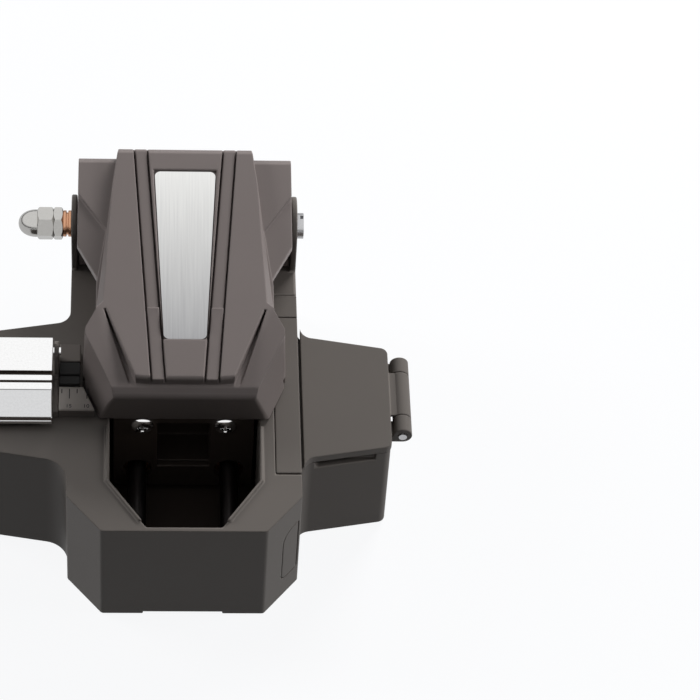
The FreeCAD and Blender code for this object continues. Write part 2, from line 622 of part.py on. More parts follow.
def lever_side():
    """The side view of the lever without its panels, with the front plateaus rising to their tops."""
    back = "lever_back_y"
    return [
        ("lip_low_y", "skirt_low"),
        ("lip_high_y", "lip_high_z"),
        ("bevel_y", shoulder("bevel_y")),
        (PLATEAU_TOP_Y, ridge(PLATEAU_TOP_Y)),
        ("plateau_back_y", ridge("plateau_back_y")),
        ("plateau_back_y", shoulder("plateau_back_y")),
        (f"{back} - tail_round_y", shoulder(f"{back} - tail_round_y")),
        (f"{back} - tail_lip_y", shoulder(back, "tail_lip_drop")),
        (back, shoulder(back, "tail_edge_drop")),
        (back, "hinge_z + tail_low"),
        ("hinge_y + tail_far_y", "hinge_z - tail_far_drop"),
        ("hinge_y + tail_near_y", "hinge_z - tail_near_drop"),
        ("hinge_y", "hinge_z - tail_bottom"),
        ("hinge_y - tail_start_y", "skirt_low"),
    ]


def frame_around(profile):
    """A side view as the hole of a big rectangle, to cut away all that is outside it."""
    return [rectangle((f"-{FAR}", FAR), ("0", FAR)), profile]


def on_slope(side, points):
    """Corners seen from above, put on one side of a sketch that lies on the sloping top."""
    return [(f"{side}*({x})", f"({y})/cos(top_slope)") for x, y in points]


# where the panels' front edge meets the back of the plateau beside it
NOSE_Y = "(panel_front_y + panel_nose_step)"
RUN = f"(plateau_back_y - {NOSE_Y})/(panel_wide_y - {NOSE_Y})"
MEET_X = f"(panel_nose_x + (panel_wide_x - panel_nose_x)*{RUN})"


def panel_outline(side):
    """A raised top panel with the slope along its outer side, up to the rib strip beside it."""
    back = "panel_back_y + tool_spare"
    return on_slope(side, [
        ("panel_nose_x", NOSE_Y), (MEET_X, "plateau_back_y"), ("waist_half", "plateau_back_y"),
        ("panel_rear_x", "panel_rear_y"), ("panel_tail_x", "panel_tail_y"),
        ("panel_end_x", back), ("panel_back_half", back), ("panel_front_half", "panel_front_y"),
    ])


def strip_grooves(side):
    """The two narrow grooves beside a rib strip."""
    front, back = "panel_front_y - tool_spare", "panel_back_y + tool_spare"
    half = "groove_wide/2"
    for row in ("panel", "centre"):
        near, far = f"{row}_front_half", f"{row}_back_half"
        yield on_slope(side, [(f"{near} - {half}", front), (f"{near} + {half}", front),
                              (f"{far} + {half}", back), (f"{far} - {half}", back)])


def flank_groove(side):
    """The groove between a panel and the plateau beside it, which opens towards the front."""
    front = "panel_front_y - tool_spare"
    return on_slope(side, [("panel_nose_x", front), ("panel_nose_x + flank_groove", front),
                           (f"{MEET_X} + groove_wide", "plateau_back_y"), (MEET_X, "plateau_back_y"),
                           ("panel_nose_x", NOSE_Y)])


def make_lever_shell():
    body = new_body("lever_casting")
    loft = body.newObject("PartDesign::AdditiveLoft", "lever_loft")
    loft.Profile = sketch(body, "XY_Plane", [lever_plan(False)], "skirt_low")
    loft.Sections = [sketch(body, "XY_Plane", [lever_plan(True)], "draft_high")]
    loft.Ruled = True
    cut(body, sketch(body, "YZ_Plane", frame_around(lever_side())), both=True)

    on_shoulder = dict(lift="shoulder_z", slope="top_slope")
    on_ridge = dict(lift="shoulder_z + panel_high/cos(top_slope)", slope="top_slope")
    front, back = "panel_front_y/cos(top_slope)", "(panel_back_y + tool_spare)/cos(top_slope)"
    for label, high in (("panel", "strip_high"), ("centre", "panel_high")):
        middle = [(f"-{label}_front_half", front), (f"{label}_front_half", front),
                  (f"{label}_back_half", back), (f"-{label}_back_half", back)]
        pad(body, sketch(body, "XY_Plane", [middle], **on_shoulder), high)
    for side in SIDES:
        cut(body, sketch(body, "XY_Plane", [flank_groove(side)], **on_shoulder), FAR, up=True)
        pad(body, sketch(body, "XY_Plane", [panel_outline(side)], **on_shoulder), "panel_high")
        for groove in strip_grooves(side):
            cut(body, sketch(body, "XY_Plane", [groove], **on_ridge), "groove_deep")
        cut_under_ear(body, side)

    top = ridge("panel_back_y")
    rear = [("panel_back_y - rear_round_y", FAR),
            ("panel_back_y - rear_round_y", f"{top} - rear_round_drop"),
            ("panel_back_y - rear_bend_y", f"{top} - rear_bend_drop"),
            ("panel_back_y", f"{top} - rear_edge_drop"), ("panel_back_y", f"{top} - rear_face_high"),
            (FAR, f"{top} - rear_face_high"), (FAR, FAR)]
    cut(body, sketch(body, "YZ_Plane", [rear]), both=True)

    plate = nameplate_outline("cover_gap")
    deep = "nameplate_thick + nameplate_sunk"
    cut(body, sketch(body, "XY_Plane", [plate], **on_ridge), deep)
    hinge = ("hinge_y", "hinge_z", "shaft_round + running_gap")
    cut(body, sketch(body, "YZ_Plane", [hinge]), both=True)
    notch = rectangle(("fibre_y - notch_half", "fibre_y + notch_half"), ("skirt_low - tool_spare", "notch_z"))
    cut(body, sketch(body, "YZ_Plane", [notch]), both=True)

    facets = doc.addObject("Part::Feature", "facet_cutters")
    facets.Shape = Part.makeCompound([facet for side in (-1, 1) for facet in facet_prisms(side)])
    finish(less(body, lever_cavity(), facets), "lever_shell")


def cut_under_ear(body, side):
    """Open the lever's side below the ear that widens towards the hinge."""
    low, front = "skirt_low - tool_spare", "waist_back_y - tool_spare"
    rise = "tan(top_slope)*(ear_front_y - waist_back_y)"
    under = [(front, low), (front, "ear_low"), ("ear_front_y", f"ear_low + {rise}"),
             ("ear_lug_y", "hinge_z"), ("ear_lug_y", low)]
    cut(body, sketch(body, "YZ_Plane", [under], f"{side}*waist_half"), FAR, up=side == "1")


def facet_prisms(side):
    """The facets on the ears and the slopes beside the panels, as prisms that cut away what is above."""
    def corner(x, y, drop):
        return Vector(side*size(x), size(y), size(shoulder(f"({y})", drop)))

    def crest(x, y):
        return Vector(side*size(x), size(y), size(ridge(f"({y})")))
    reach = f"({LEVER_HALF} + loft_spare)"
    out_y = f"facet_back_y + facet_skew*({reach} - facet_inner_x)"
    inner = corner("facet_inner_x", "facet_back_y", "facet_crease")
    outer = corner(reach, out_y, "facet_crease")
    low = corner("waist_half", "waist_back_y", "facet_mid_drop")
    plan = [("facet_inner_x", "facet_back_y"), (reach, out_y),
            (reach, "facet_mid_y"), ("waist_half", "facet_mid_y")]
    yield flat_prism(inner, outer, low, side, plan)

    front, rear = crest("panel_wide_x", "panel_wide_y"), crest("panel_rear_x", "panel_rear_y")
    foot = corner("waist_half", "plateau_back_y", "0")
    plan = [("panel_wide_x", "panel_wide_y"), ("panel_rear_x", "panel_rear_y"),
            ("waist_half", "plateau_back_y")]
    yield flat_prism(front, rear, foot, side, plan)


def flat_prism(first, second, third, side, plan):
    """A prism that stands on the plane through three points, over a plan outline."""
    normal = (second - first).cross(third - first)
    corners = []
    for x, y in plan:
        across, along = side*size(x), size(y)
        drop = (normal.x*(across - first.x) + normal.y*(along - first.y))/normal.z
        corners.append(Vector(across, along, first.z - drop))
    return prism(corners, Z_AXIS*float(FAR))


def lever_cavity():
    """The hollow under the lever's top, with the two bosses of the clamp arm left standing."""
    body = new_body("lever_cavity")
    plan = both_sides([
        ("nose_half + cavity_corner", "nose_wall_y"),
        ("flare_half_high - lever_wall", "flare_front_y + cavity_shift"),
        ("flare_half_high - lever_wall", "flare_back_y"),
        ("waist_half - lever_wall", "waist_front_y + cavity_shift"),
        ("waist_half - lever_wall", "lever_back_y - lever_wall"),
    ])
    pad(body, sketch(body, "XY_Plane", [plan], "skirt_low - tool_spare"), FAR)
    ceiling = [(f"-{FAR}", shoulder(f"-{FAR}", "lever_wall")), (FAR, shoulder(FAR, "lever_wall")),
               (FAR, f"2*{FAR}"), (f"-{FAR}", f"2*{FAR}")]
    cut(body, sketch(body, "YZ_Plane", [ceiling]), both=True)
    bosses = pair("boss_x", "fibre_y", "boss_round")
    cut(body, sketch(body, "XY_Plane", bosses, ARM_HIGH), FAR, up=True)
    return body


def nameplate_outline(grow="0"):
    stretch = "cos(top_slope)"
    return [(f"-plate_front_half - {grow}", f"(nameplate_front_y - {grow})/{stretch}"),
            (f"plate_front_half + {grow}", f"(nameplate_front_y - {grow})/{stretch}"),
            (f"plate_back_half + {grow}", f"(nameplate_back_y + {grow})/{stretch}"),
            (f"-plate_back_half - {grow}", f"(nameplate_back_y + {grow})/{stretch}")]


def make_nameplate():
    body = new_body("nameplate")
    seat = "shoulder_z + (panel_high - nameplate_thick - nameplate_sunk)/cos(top_slope)"
    pad(body, sketch(body, "XY_Plane", [nameplate_outline()], seat, slope="top_slope"), "nameplate_thick")
    thick = size("nameplate_thick")
    rounded(body, "nameplate_round", lambda e: abs(e.Length - thick) < CLOSE)
    finish(body, "nameplate")


# ---------------------------------------------------------------- clamps and anvil

ARM_LOW = "(fibre_z + pad_gap*2 + upper_pad_thick)"
ARM_HIGH = "(fibre_z + pad_gap*2 + upper_pad_thick + arm_thick)"


def make_clamps():
    near, far = "fibre_y - clamp_half_deep", "fibre_y + clamp_half_deep"
    bridge_deep = (f"{near} + cover_gap", f"{far} - cover_gap")
    pad_deep = (f"{near} + clamp_pad_inset", f"{far} - clamp_pad_inset")
    bridges, lower, upper = [], [], []
    left = ((f"-{BRIDGE_OUTER} + cover_gap", "-bridge_inner"), ("-clamp_outer", "-clamp_inner"))
    right = (("bridge_inner", f"{BRIDGE_OUTER} - cover_gap"), ("clamp_inner", "clamp_outer"))
    for ends, across in (left, right):
        bridges.append(box(ends, bridge_deep, ("deck_z - bridge_thick", "deck_z")))
        lower.append(box(across, pad_deep, ("deck_z", "fibre_z - pad_gap")))
        upper.append(box(across, pad_deep, ("fibre_z + 2*pad_gap", ARM_LOW)))
    finish(together(*bridges), "clamp_bridges")
    finish(together(*lower), "lower_clamp_pads")
    finish(together(*upper), "upper_clamp_pads")

    arm = box(("-arm_half", "arm_half"),
              ("fibre_y - arm_half_deep", "fibre_y + arm_half_deep"), (ARM_LOW, ARM_HIGH))
    slot = box(("-anvil_half - seat_gap", "anvil_half + seat_gap"),
               ("fibre_y - anvil_deep/2 - seat_gap", "fibre_y + anvil_deep/2 + seat_gap"),
               (ARM_LOW, ARM_HIGH))
    holes, screws = [], []
    for side in SIDES:
        start = (f"{side}*boss_x", "fibre_y", ARM_LOW)
        below = (f"{side}*boss_x", "fibre_y", f"{ARM_LOW} - arm_screw_head_long")
        holes.append(rod("z", start, "arm_screw_shank + seat_gap", "arm_thick"))
        screws.append(joined(rod("z", below, "arm_screw_head", "arm_screw_head_long"),
                             rod("z", start, "arm_screw_shank", "arm_thick")))
    finish(less(arm, slot, *holes), "clamp_arm")
    finish(together(*screws), "arm_screws")
    finish(box(("-anvil_half", "anvil_half"), ("fibre_y - anvil_deep/2", "fibre_y + anvil_deep/2"),
               ("fibre_z + anvil_gap", ARM_HIGH)), "anvil")


# ---------------------------------------------------------------- gears

SECTOR_RADIUS = "gear_module*sector_teeth/2"
IDLER_RADIUS = "gear_module*idler_teeth/2"
CENTRES = "gear_module*(sector_teeth + idler_teeth)/2"
IDLER_Y = f"(hinge_y + {CENTRES}*cos(mesh_turn))"
IDLER_Z = f"(hinge_z + {CENTRES}*sin(mesh_turn))"
PRESSURE = math.radians(20)
FLANK_SHARES = (0, 0.35, 0.7, 1)    # where an involute flank has its corners, from root to tip
RIM_SPARE = 0.6     # the sector's rim past its end teeth, in tooth pitches


def tooth(teeth, centre_turn):
    """One involute tooth about the axis, as corners in the gear's plane, turned to centre_turn."""
    module, play = size("gear_module"), size("backlash")
    radius = module*teeth/2
    base = radius*math.cos(PRESSURE)
    root = radius - module - size("tooth_root_gap")
    lean = math.tan(PRESSURE) - PRESSURE
    half = math.pi/(2*teeth) - play/(2*radius)
    flank = []
    for share in FLANK_SHARES:
        here = max(base, root) + share*(radius + module - max(base, root))
        angle = math.acos(min(1, base/here))
        flank.append((here, half + lean - (math.tan(angle) - angle)))
    flank.insert(0, (root - module/2, flank[0][1]))
    turns = [(r, -a) for r, a in flank] + [(r, a) for r, a in reversed(flank)]
    middle = math.radians(centre_turn)
    return [Vector(0, r*math.cos(middle + a), r*math.sin(middle + a)) for r, a in turns]


def gear_solid(teeth, turns, wide, body):
    """Teeth at the listed turns, joined to a body of the same width."""
    solids = [prism(tooth(teeth, turn), Vector(wide, 0, 0)) for turn in turns]
    return body.multiFuse(solids).removeSplitter()


def make_sector():
    teeth = int(size("sector_teeth"))
    pitch = 360/teeth
    wide = size("gear_wide")
    root = size(f"{SECTOR_RADIUS} - gear_module - tooth_root_gap")
    first = size("mesh_turn") + size("sector_first")*pitch
    turns = [first + step*pitch for step in range(int(size("sector_count")))]
    start, end = math.radians(first - RIM_SPARE*pitch), math.radians(turns[-1] + RIM_SPARE*pitch)
    middle = (start + end)/2
    rim = [Vector(0, root*math.cos(a), root*math.sin(a)) for a in (start, middle, end)]
    wedge = Part.Wire([Part.LineSegment(Vector(), rim[0]).toShape(), Part.Arc(*rim).toShape(),
                       Part.LineSegment(rim[2], Vector()).toShape()])
    web = Part.Face(wedge).extrude(Vector(wide, 0, 0))
    hub_round = size("sector_hub")
    hub = Part.makeCylinder(hub_round, wide, Vector(), X_AXIS)
    near, top = size("sector_arm_near"), size("sector_arm_high")
    tip = Vector(0, -hub_round - size("sector_arm_reach"), top - size("sector_arm_low"))
    arm = prism([Vector(0, -near, 0), Vector(0, -hub_round, 0), tip,
                 Vector(0, -near, top - size("sector_arm_back"))], Vector(wide, 0, 0))
    solid = gear_solid(teeth, turns, wide, web.fuse([hub, arm]))
    bore = Part.makeCylinder(size("shaft_round + running_gap"), wide, Vector(), X_AXIS)
    gear = doc.addObject("Part::Feature", "sector")
    gear.Shape = solid.cut(bore)
    finish(place(gear, "sector_left", "hinge_y", "hinge_z"), "sector_gear")


def make_idler():
    teeth = int(size("idler_teeth"))
    pitch = 360/teeth
    wide = size("2*gear_wide + gear_side_gap + 2*idler_spare")
    root = size(f"{IDLER_RADIUS} - gear_module - tooth_root_gap")
    first = size("mesh_turn") - 180 + pitch/2
    turns = [first + step*pitch for step in range(teeth)]
    core = Part.makeCylinder(root, wide, Vector(), X_AXIS)
    bore = Part.makeCylinder(size("idler_shaft_round + running_gap"), wide, Vector(), X_AXIS)
    gear = doc.addObject("Part::Feature", "idler")
    gear.Shape = gear_solid(teeth, turns, wide, core).cut(bore)
    finish(place(gear, "sector_left - idler_spare", IDLER_Y, IDLER_Z), "idler_gear")

    reach = "(well_half + idler_seat_long)"
    shaft = rod("x", (f"-{reach}", IDLER_Y, IDLER_Z), "idler_shaft_round", f"2*{reach}")
    left = "sector_left - idler_spare - running_gap - idler_collar_long"
    right = "sector_left + 2*gear_wide + gear_side_gap + idler_spare + running_gap"
    collars = [rod("x", (start, IDLER_Y, IDLER_Z), "idler_collar_round", "idler_collar_long")
               for start in (left, right)]
    finish(joined(shaft, *collars), "idler_shaft")


def make_rack():
    module, play = size("gear_module"), size("backlash")
    pitch = math.pi*module
    wide = size("gear_wide")
    line = size(f"{IDLER_Z} + {IDLER_RADIUS}")
    idler_pitch = 360/size("idler_teeth")
    nearest = (size("mesh_turn") - 180 + idler_pitch/2 - 90) % idler_pitch
    gap_y = size(IDLER_Y) - size(IDLER_RADIUS)*math.radians(nearest)
    root = line + module + size("tooth_root_gap")
    slant = math.tan(PRESSURE)
    half = pitch/4 - play/2
    left = size("sector_left + gear_wide + gear_side_gap")
    teeth = []
    for step in range(int(size("rack_count"))):
        y = gap_y + (size("rack_first") + step + 0.5)*pitch
        low, high = half - module*slant, half + (root - line)*slant
        corners = [Vector(left, y - high, root), Vector(left, y - low, line - module),
                   Vector(left, y + low, line - module), Vector(left, y + high, root)]
        teeth.append(prism(corners, Vector(wide, 0, 0)))
    end = gap_y + (size("rack_first") + size("rack_count"))*pitch
    front = size("rack_front_y")
    bar = Part.makeBox(wide, end - front, size("rack_back_high"), Vector(left, front, root))
    low = size("block_high")
    high = root - low + size("rack_back_high")/2
    foot = Part.makeBox(wide, size("rack_foot_y") - front, high, Vector(left, front, low))
    rack = doc.addObject("Part::Feature", "rack")
    rack.Shape = bar.multiFuse([foot, *teeth]).removeSplitter()
    finish(rack, "drive_rack")


# ---------------------------------------------------------------- carriage

def make_carriage():
    long = "back_y - front_y - rod_front_seat"
    rods = [rod("y", (f"{side}*{ROD_X}", "front_y + rod_front_seat", "rod_z"), "rod_round", long)
            for side in SIDES]
    finish(together(*rods), "guide_rods")

    block = new_body("carriage_block")
    outer = rectangle((f"-{BLOCK_HALF}", BLOCK_HALF), ("block_low", "block_high"))
    bores = pair(ROD_X, "rod_z", "rod_round + bushing_wall + seat_gap")
    pad(block, sketch(block, "XZ_Plane", [outer, *bores], "-block_back_y"), "block_back_y - block_front_y")
    recess = rectangle(("-window_half", "window_half"), ("window_low", "block_high"))
    cut(block, sketch(block, "XZ_Plane", [recess], "-block_front_y"), "recess_deep")
    for side in SIDES:
        across = (f"{side}*(face_screw_x - face_screw_head)", f"{side}*(face_screw_x + face_screw_head)")
        post = rectangle(across, ("block_high - post_sunk", "face_high - post_drop"))
        pad(block, sketch(block, "XZ_Plane", [post], "-block_front_y - ear_deep"), "ear_deep")
    screw_holes = pair("face_screw_x", "face_screw_z", "face_screw_shank + seat_gap")
    cut(block, sketch(block, "XZ_Plane", screw_holes, "-block_front_y"), "ear_deep")
    finish(block, "carriage_block")

    sleeves = []
    for side in SIDES:
        start = (f"{side}*{ROD_X}", "block_front_y", "rod_z")
        long = "block_back_y - block_front_y"
        sleeves.append(less(rod("y", start, "rod_round + bushing_wall", long),
                            rod("y", start, "rod_round + running_gap", long)))
    finish(together(*sleeves), "slide_bushings")

    face = new_body("front_plate")
    plate = rectangle((f"-{FACE_HALF}", FACE_HALF), ("face_low", "face_high"))
    window = rectangle(("-window_half", "window_half"), ("window_low", "window_high"))
    holes = pair(ROD_X, "rod_z", "rod_round + bushing_wall") + screw_holes
    pad(face, sketch(face, "XZ_Plane", [plate, window, *holes], "-block_front_y"), "face_thick")
    thick, half = size("face_thick"), size(FACE_HALF)
    rounded(face, "face_corner", lambda e: abs(e.Length - thick) < CLOSE
            and abs(abs(e.CenterOfMass.x) - half) < CLOSE)
    finish(face, "front_plate")

    screws = []
    for side in SIDES:
        hole = (f"{side}*face_screw_x", "block_front_y - face_thick", "face_screw_z")
        head = (hole[0], f"{hole[1]} - face_screw_head_long", "face_screw_z")
        screws.append(joined(rod("y", head, "face_screw_head", "face_screw_head_long"),
                             rod("y", hole, "face_screw_shank", "face_thick + ear_deep")))
    finish(together(*screws), "carriage_screws")


# ---------------------------------------------------------------- blade

BLADE_Y = "(fibre_y + blade_rest)"
BLADE_Z = "(fibre_z + blade_bite - blade_radius)"


def make_blade():
    holder = new_body("blade_holder", "0", BLADE_Y, "0")
    inner = "blade_half_thick + ear_gap"
    top = f"{BLADE_Z} + ear_high_spare"
    step = "block_high + blade_foot"
    right = [("ear_half + fork_foot", "block_high"), ("ear_half + fork_foot", step),
             ("ear_half", step), ("ear_half", top), (inner, top), (inner, step)]
    fork = both_sides(right)
    pad(holder, sketch(holder, "XZ_Plane", [fork], "-ear_deep"), "2*ear_deep")
    hole = sketch(holder, "YZ_Plane", [("0", BLADE_Z, "blade_bore - running_gap + seat_gap")])
    cut(holder, hole, both=True)
    finish(holder, "blade_holder")

    disc = new_body("blade_wheel", "0", BLADE_Y, BLADE_Z)
    thick, sunk = "blade_half_thick", "ring_sunk"
    right = [("blade_bore", thick), ("hub_ring", thick), ("hub_ring", f"{thick} - {sunk}/2"),
             ("ring_inner", f"{thick} - {sunk}/2"), ("ring_inner", f"{thick} - {sunk}"),
             ("bevel_start", f"{thick} - {sunk}"), ("bevel_start", thick), ("blade_radius", "blade_land")]
    section = [(across, radius) for radius, across in right]
    section += [(f"-({across})", radius) for radius, across in reversed(right)]
    spin(disc, sketch(disc, "XY_Plane", [section]))
    finish(disc, "blade_wheel")

    pin = rod("x", ("-ear_half", BLADE_Y, BLADE_Z), "blade_bore - running_gap", "2*ear_half")
    head = rod("x", ("ear_half", BLADE_Y, BLADE_Z), "blade_pin_head", "blade_pin_head_long")
    reach = "(blade_pin_head + tool_spare)"
    slot = box(("ear_half + blade_pin_head_long/2", "ear_half + blade_pin_head_long + tool_spare"),
               (f"{BLADE_Y} - pin_slot/2", f"{BLADE_Y} + pin_slot/2"),
               (f"{BLADE_Z} - {reach}", f"{BLADE_Z} + {reach}"))
    finish(less(joined(pin, head), slot), "blade_pin")


# ---------------------------------------------------------------- fibre platform and holder

def make_platform():
    left, right, back = "holder_right + piece_inset", "platform_right", "platform_back_y"
    plan = [(left, "platform_front_y"), ("platform_nose_x", "platform_front_y"),
            (right, "platform_knee_y"), (right, back), (left, back)]
    block = new_body("fibre_platform")
    pad(block, sketch(block, "XY_Plane", [plan], "deck_z"), "holder_top_z - deck_z")
    finish(block, "fibre_platform")

    share = "(ruler_back_y - platform_front_y)/(platform_knee_y - platform_front_y)"
    ruler = new_body("ruler_plate")
    ruler_right = f"platform_nose_x + ({right} - platform_nose_x)*{share}"
    scale = [(left, "platform_front_y"), ("platform_nose_x", "platform_front_y"),
             (ruler_right, "ruler_back_y"), (left, "ruler_back_y")]
    pad(ruler, sketch(ruler, "XY_Plane", [scale], "holder_top_z"), "ruler_thick")
    finish(ruler, "ruler_plate")

    top = "holder_top_z + guide_thick"
    profile = [("guide_front_y", "holder_top_z"), ("guide_back_y", "holder_top_z"), ("guide_back_y", top),
               ("fibre_y + guide_groove", top), ("fibre_y", "fibre_z"), ("fibre_y - guide_groove", top),
               ("guide_front_y", top)]
    guide = new_body("fibre_guide")
    pad(guide, sketch(guide, "YZ_Plane", [profile], left), f"{right} - ({left})")
    finish(guide, "fibre_guide")

    stop = new_body("rear_guide_block")
    outline = rectangle((left, f"{right} + piece_inset"), ("stop_front_y", "stop_back_y"))
    pad(stop, sketch(stop, "XY_Plane", [outline], "holder_top_z"), "guide_thick")
    finish(stop, "rear_guide_block")


def make_holder():
    base = new_body("holder_base")
    top = "holder_top_z"
    profile = [("holder_front_y", "deck_z"), ("holder_back_y", "deck_z"), ("holder_back_y", top),
               ("fibre_y + holder_groove", top), ("fibre_y", f"{top} - holder_groove"),
               ("fibre_y - holder_groove", top), ("holder_front_y", top)]
    pad(base, sketch(base, "YZ_Plane", [profile], "holder_left"), "holder_right - holder_left")
    for start in ("holder_left", "holder_right - ear_wide"):
        ear = rectangle(("holder_pin_y - holder_ear_round", "holder_back_y"),
                        (f"{top} - tool_spare", "holder_pin_z"))
        for outline in (ear, ("holder_pin_y", "holder_pin_z", "holder_ear_round")):
            pad(base, sketch(base, "YZ_Plane", [outline], start), "ear_wide")
    bore = ("holder_pin_y", "holder_pin_z", "holder_pin_round + seat_gap")
    cut(base, sketch(base, "YZ_Plane", [bore]), both=True)
    finish(base, "holder_base")

    start = "holder_left + ear_wide + lid_side_gap"
    wide = "holder_right - holder_left - 2*ear_wide - 2*lid_side_gap"
    rear = "holder_pin_y - holder_ear_round + lid_rear_gap"
    low, high = "holder_lid_low", "holder_lid_high"
    profile = [
        (rear, low), (rear, "lid_shelf_z"), ("lid_back_y", "lid_shelf_z"), ("lid_back_y", high),
        ("groove_y", high), ("groove_y", "groove_z"), ("groove_front_y", "groove_z"),
        ("groove_front_y", "ridge_rear_z"), ("ridge_y", "ridge_z"), ("ridge_front_y", "ridge_front_z"),
        ("dip_y", "dip_z"), ("brow_y", "brow_z"), ("face_top_y", "face_top_z"),
        ("face_foot_y", "face_foot_z"), ("lip_y", "lip_top_z"), ("lip_y", "holder_lip_low"),
        ("holder_front_y - lid_skirt_gap", "holder_lip_low"), ("holder_front_y - lid_skirt_gap", low),
    ]
    lid = new_body("holder_lid")
    pad(lid, sketch(lid, "YZ_Plane", [profile], start), wide)
    web = rectangle((f"{rear} - tool_spare", "holder_pin_y"),
                    ("holder_pin_z - holder_knuckle", "holder_pin_z + holder_knuckle"))
    for outline in (web, ("holder_pin_y", "holder_pin_z", "holder_knuckle")):
        pad(lid, sketch(lid, "YZ_Plane", [outline], start), wide)
    bore = ("holder_pin_y", "holder_pin_z", "holder_pin_round + running_gap")
    cut(lid, sketch(lid, "YZ_Plane", [bore]), both=True)
    seat = rectangle(("pad_left", "pad_right"), ("fibre_y - pad_half_deep", "fibre_y + pad_half_deep"))
    cut(lid, sketch(lid, "XY_Plane", [seat], low), "pad_sunk", up=True)
    finish(lid, "holder_lid")

    finish(box(("pad_left + cover_gap", "pad_right - cover_gap"),
               ("fibre_y - pad_half_deep + cover_gap", "fibre_y + pad_half_deep - cover_gap"),
               (f"{low} - pad_proud", f"{low} + pad_sunk")), "holder_pad")
    finish(rod("x", ("holder_left", "holder_pin_y", "holder_pin_z"), "holder_pin_round",
               "holder_right - holder_left + pin_proud"), "holder_pin")


# ---------------------------------------------------------------- scrap bin

def flare(edge, way):
    """The hollow curve by which the bin lid runs out along the column, as corners."""
    return [(f"{LID_LEFT} + lid_flare*(1 - cos({turn}))", f"{edge} + {way}*lid_flare*(1 - sin({turn}))")
            for turn in QUARTER]


def make_bin():
    rake = f"wing_rake*(wing_tip - {BAY_LEFT})"
    wall = "(wing_wall + bin_gap)"

    def outline(inset):
        return [(f"{BAY_LEFT} + bin_gap + {inset}", f"right_front_y - {rake} + {wall} + {inset}"),
                (f"wing_tip - {wall} - {inset}", f"right_front_y + {wall} + {inset}"),
                (f"wing_tip - {wall} - {inset}", f"right_back_y - {wall} - {inset}"),
                (f"{BAY_LEFT} + bin_gap + {inset}", f"right_back_y + {rake} - {wall} - {inset}")]

    tray = new_body("scrap_bin")
    floor = "shell_low + floor_thick"
    pad(tray, sketch(tray, "XY_Plane", [outline("0")], floor), f"bin_high - ({floor})")
    cut(tray, sketch(tray, "XY_Plane", [outline("bin_wall")], "bin_high"), f"bin_high - ({floor}) - bin_wall")
    finish(tray, "scrap_bin")

    lid = new_body("bin_lid")
    low = "bay_top_z + cover_gap"
    reach = f"(lid_right - {LID_LEFT} - lid_flare)"
    front, back = f"right_front_y - wing_rake*{reach}", f"right_back_y + wing_rake*{reach}"
    plan = flare(front, "-1") + [("lid_right", "right_front_y"), ("lid_right", "right_back_y")]
    plan += reversed(flare(back, "1"))
    pad(lid, sketch(lid, "XY_Plane", [plan], low), "lid_thick")
    rounded(lid, "wing_corner", lambda e: upright(e, size("lid_right")))
    near, far = "barrel_mid_y + barrel_gap", "barrel_rear_y - barrel_gap"
    web = rectangle(("lid_right - web_reach", "barrel_x"), (low, f"{low} + web_thick"))
    for piece in (web, ("barrel_x", "barrel_z", "barrel_round")):
        pad(lid, sketch(lid, "XZ_Plane", [piece], f"-({far})"), f"{far} - ({near})")
    cut_barrel_bore(lid, "running_gap")
    finish(lid, "bin_lid")
    finish(rod("y", ("barrel_x", "barrel_front_y - pin_proud", "barrel_z"), "barrel_pin",
               "barrel_back_y - barrel_front_y + pin_proud"), "bin_hinge_pin")


# ---------------------------------------------------------------- release button

def button_outline(grow="0"):
    """The button on the chamfer: round towards the front face, square along the wall."""
    far = f"button_far + {grow}"
    low = [(f"button_near + button_low_round - (button_low_round + {grow})*cos({turn})",
            f"button_low + button_low_round - (button_low_round + {grow})*sin({turn})")
           for turn in QUARTER]
    high = [(f"button_near + button_round - (button_round + {grow})*cos({turn})",
             f"button_high - button_round + (button_round + {grow})*sin({turn})")
            for turn in reversed(QUARTER)]
    return low + [(far, f"button_low - {grow}"), (far, f"button_high + {grow}")] + high


def make_button():
    body = new_body("release_button")
    pad(body, sketch(body, "XZ_Plane", [button_outline()], **CHAMFER), "button_deep", down=True)
    finish(body, "release_button")


# ---------------------------------------------------------------- run

def main():
    make_base_shell()
    make_bottom()
    make_covers()
    make_hinge()
    make_lever_shell()
    make_nameplate()
    make_clamps()
    make_sector()
    make_idler()
    make_rack()
    make_carriage()
    make_blade()
    make_platform()
    make_holder()
    make_bin()
    make_button()


def check_and_write():
    """Stop on any failed object, then write each sub-part as a STEP file."""
    doc.recompute()
    for thing in doc.Objects:
        if "Invalid" in thing.State or "Error" in thing.State:
            raise RuntimeError(f"{thing.Name} failed: {thing.State}")
    os.makedirs("parts", exist_ok=True)
    for node in nodes:
        shape = node.Shape
        if shape.isNull() or not shape.isValid() or shape.Volume <= 0:
            raise RuntimeError(f"{node.Label} has no valid shape")
        shape.exportStep(f"parts/{node.Label}.step")
        bounds = shape.BoundBox
        print(f"{node.Label:20s} {len(shape.Solids)} solid(s), {shape.Volume:9.1f} mm3,"
              f" x {bounds.XMin:.1f}..{bounds.XMax:.1f}, y {bounds.YMin:.1f}..{bounds.YMax:.1f},"
              f" z {bounds.ZMin:.1f}..{bounds.ZMax:.1f}")


main()
check_and_write()
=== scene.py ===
# %% [markdown]
# # A fibre cleaver in a studio
#
# A fibre cleaver scores and snaps an optical fibre so that its end is a flat mirror.
# The solid parts come from a CAD model: a die-cast base, a hinged lever, a geared blade
# carriage, a fibre holder and a scrap bin. This lesson gives those parts their rounded
# edges, their paint, chrome and brushed metal, and adds what CAD leaves out: ruler marks,
# blade numbers and screw recesses. Everything is in metres, in the CAD model's own frame:
# +X to the right, +Y to the back, +Z up, with the table at zero.

# %% The frame
import json
import math

import bmesh
import bpy
import numpy as np
from mathutils import Matrix, Vector
from mathutils.bvhtree import BVHTree

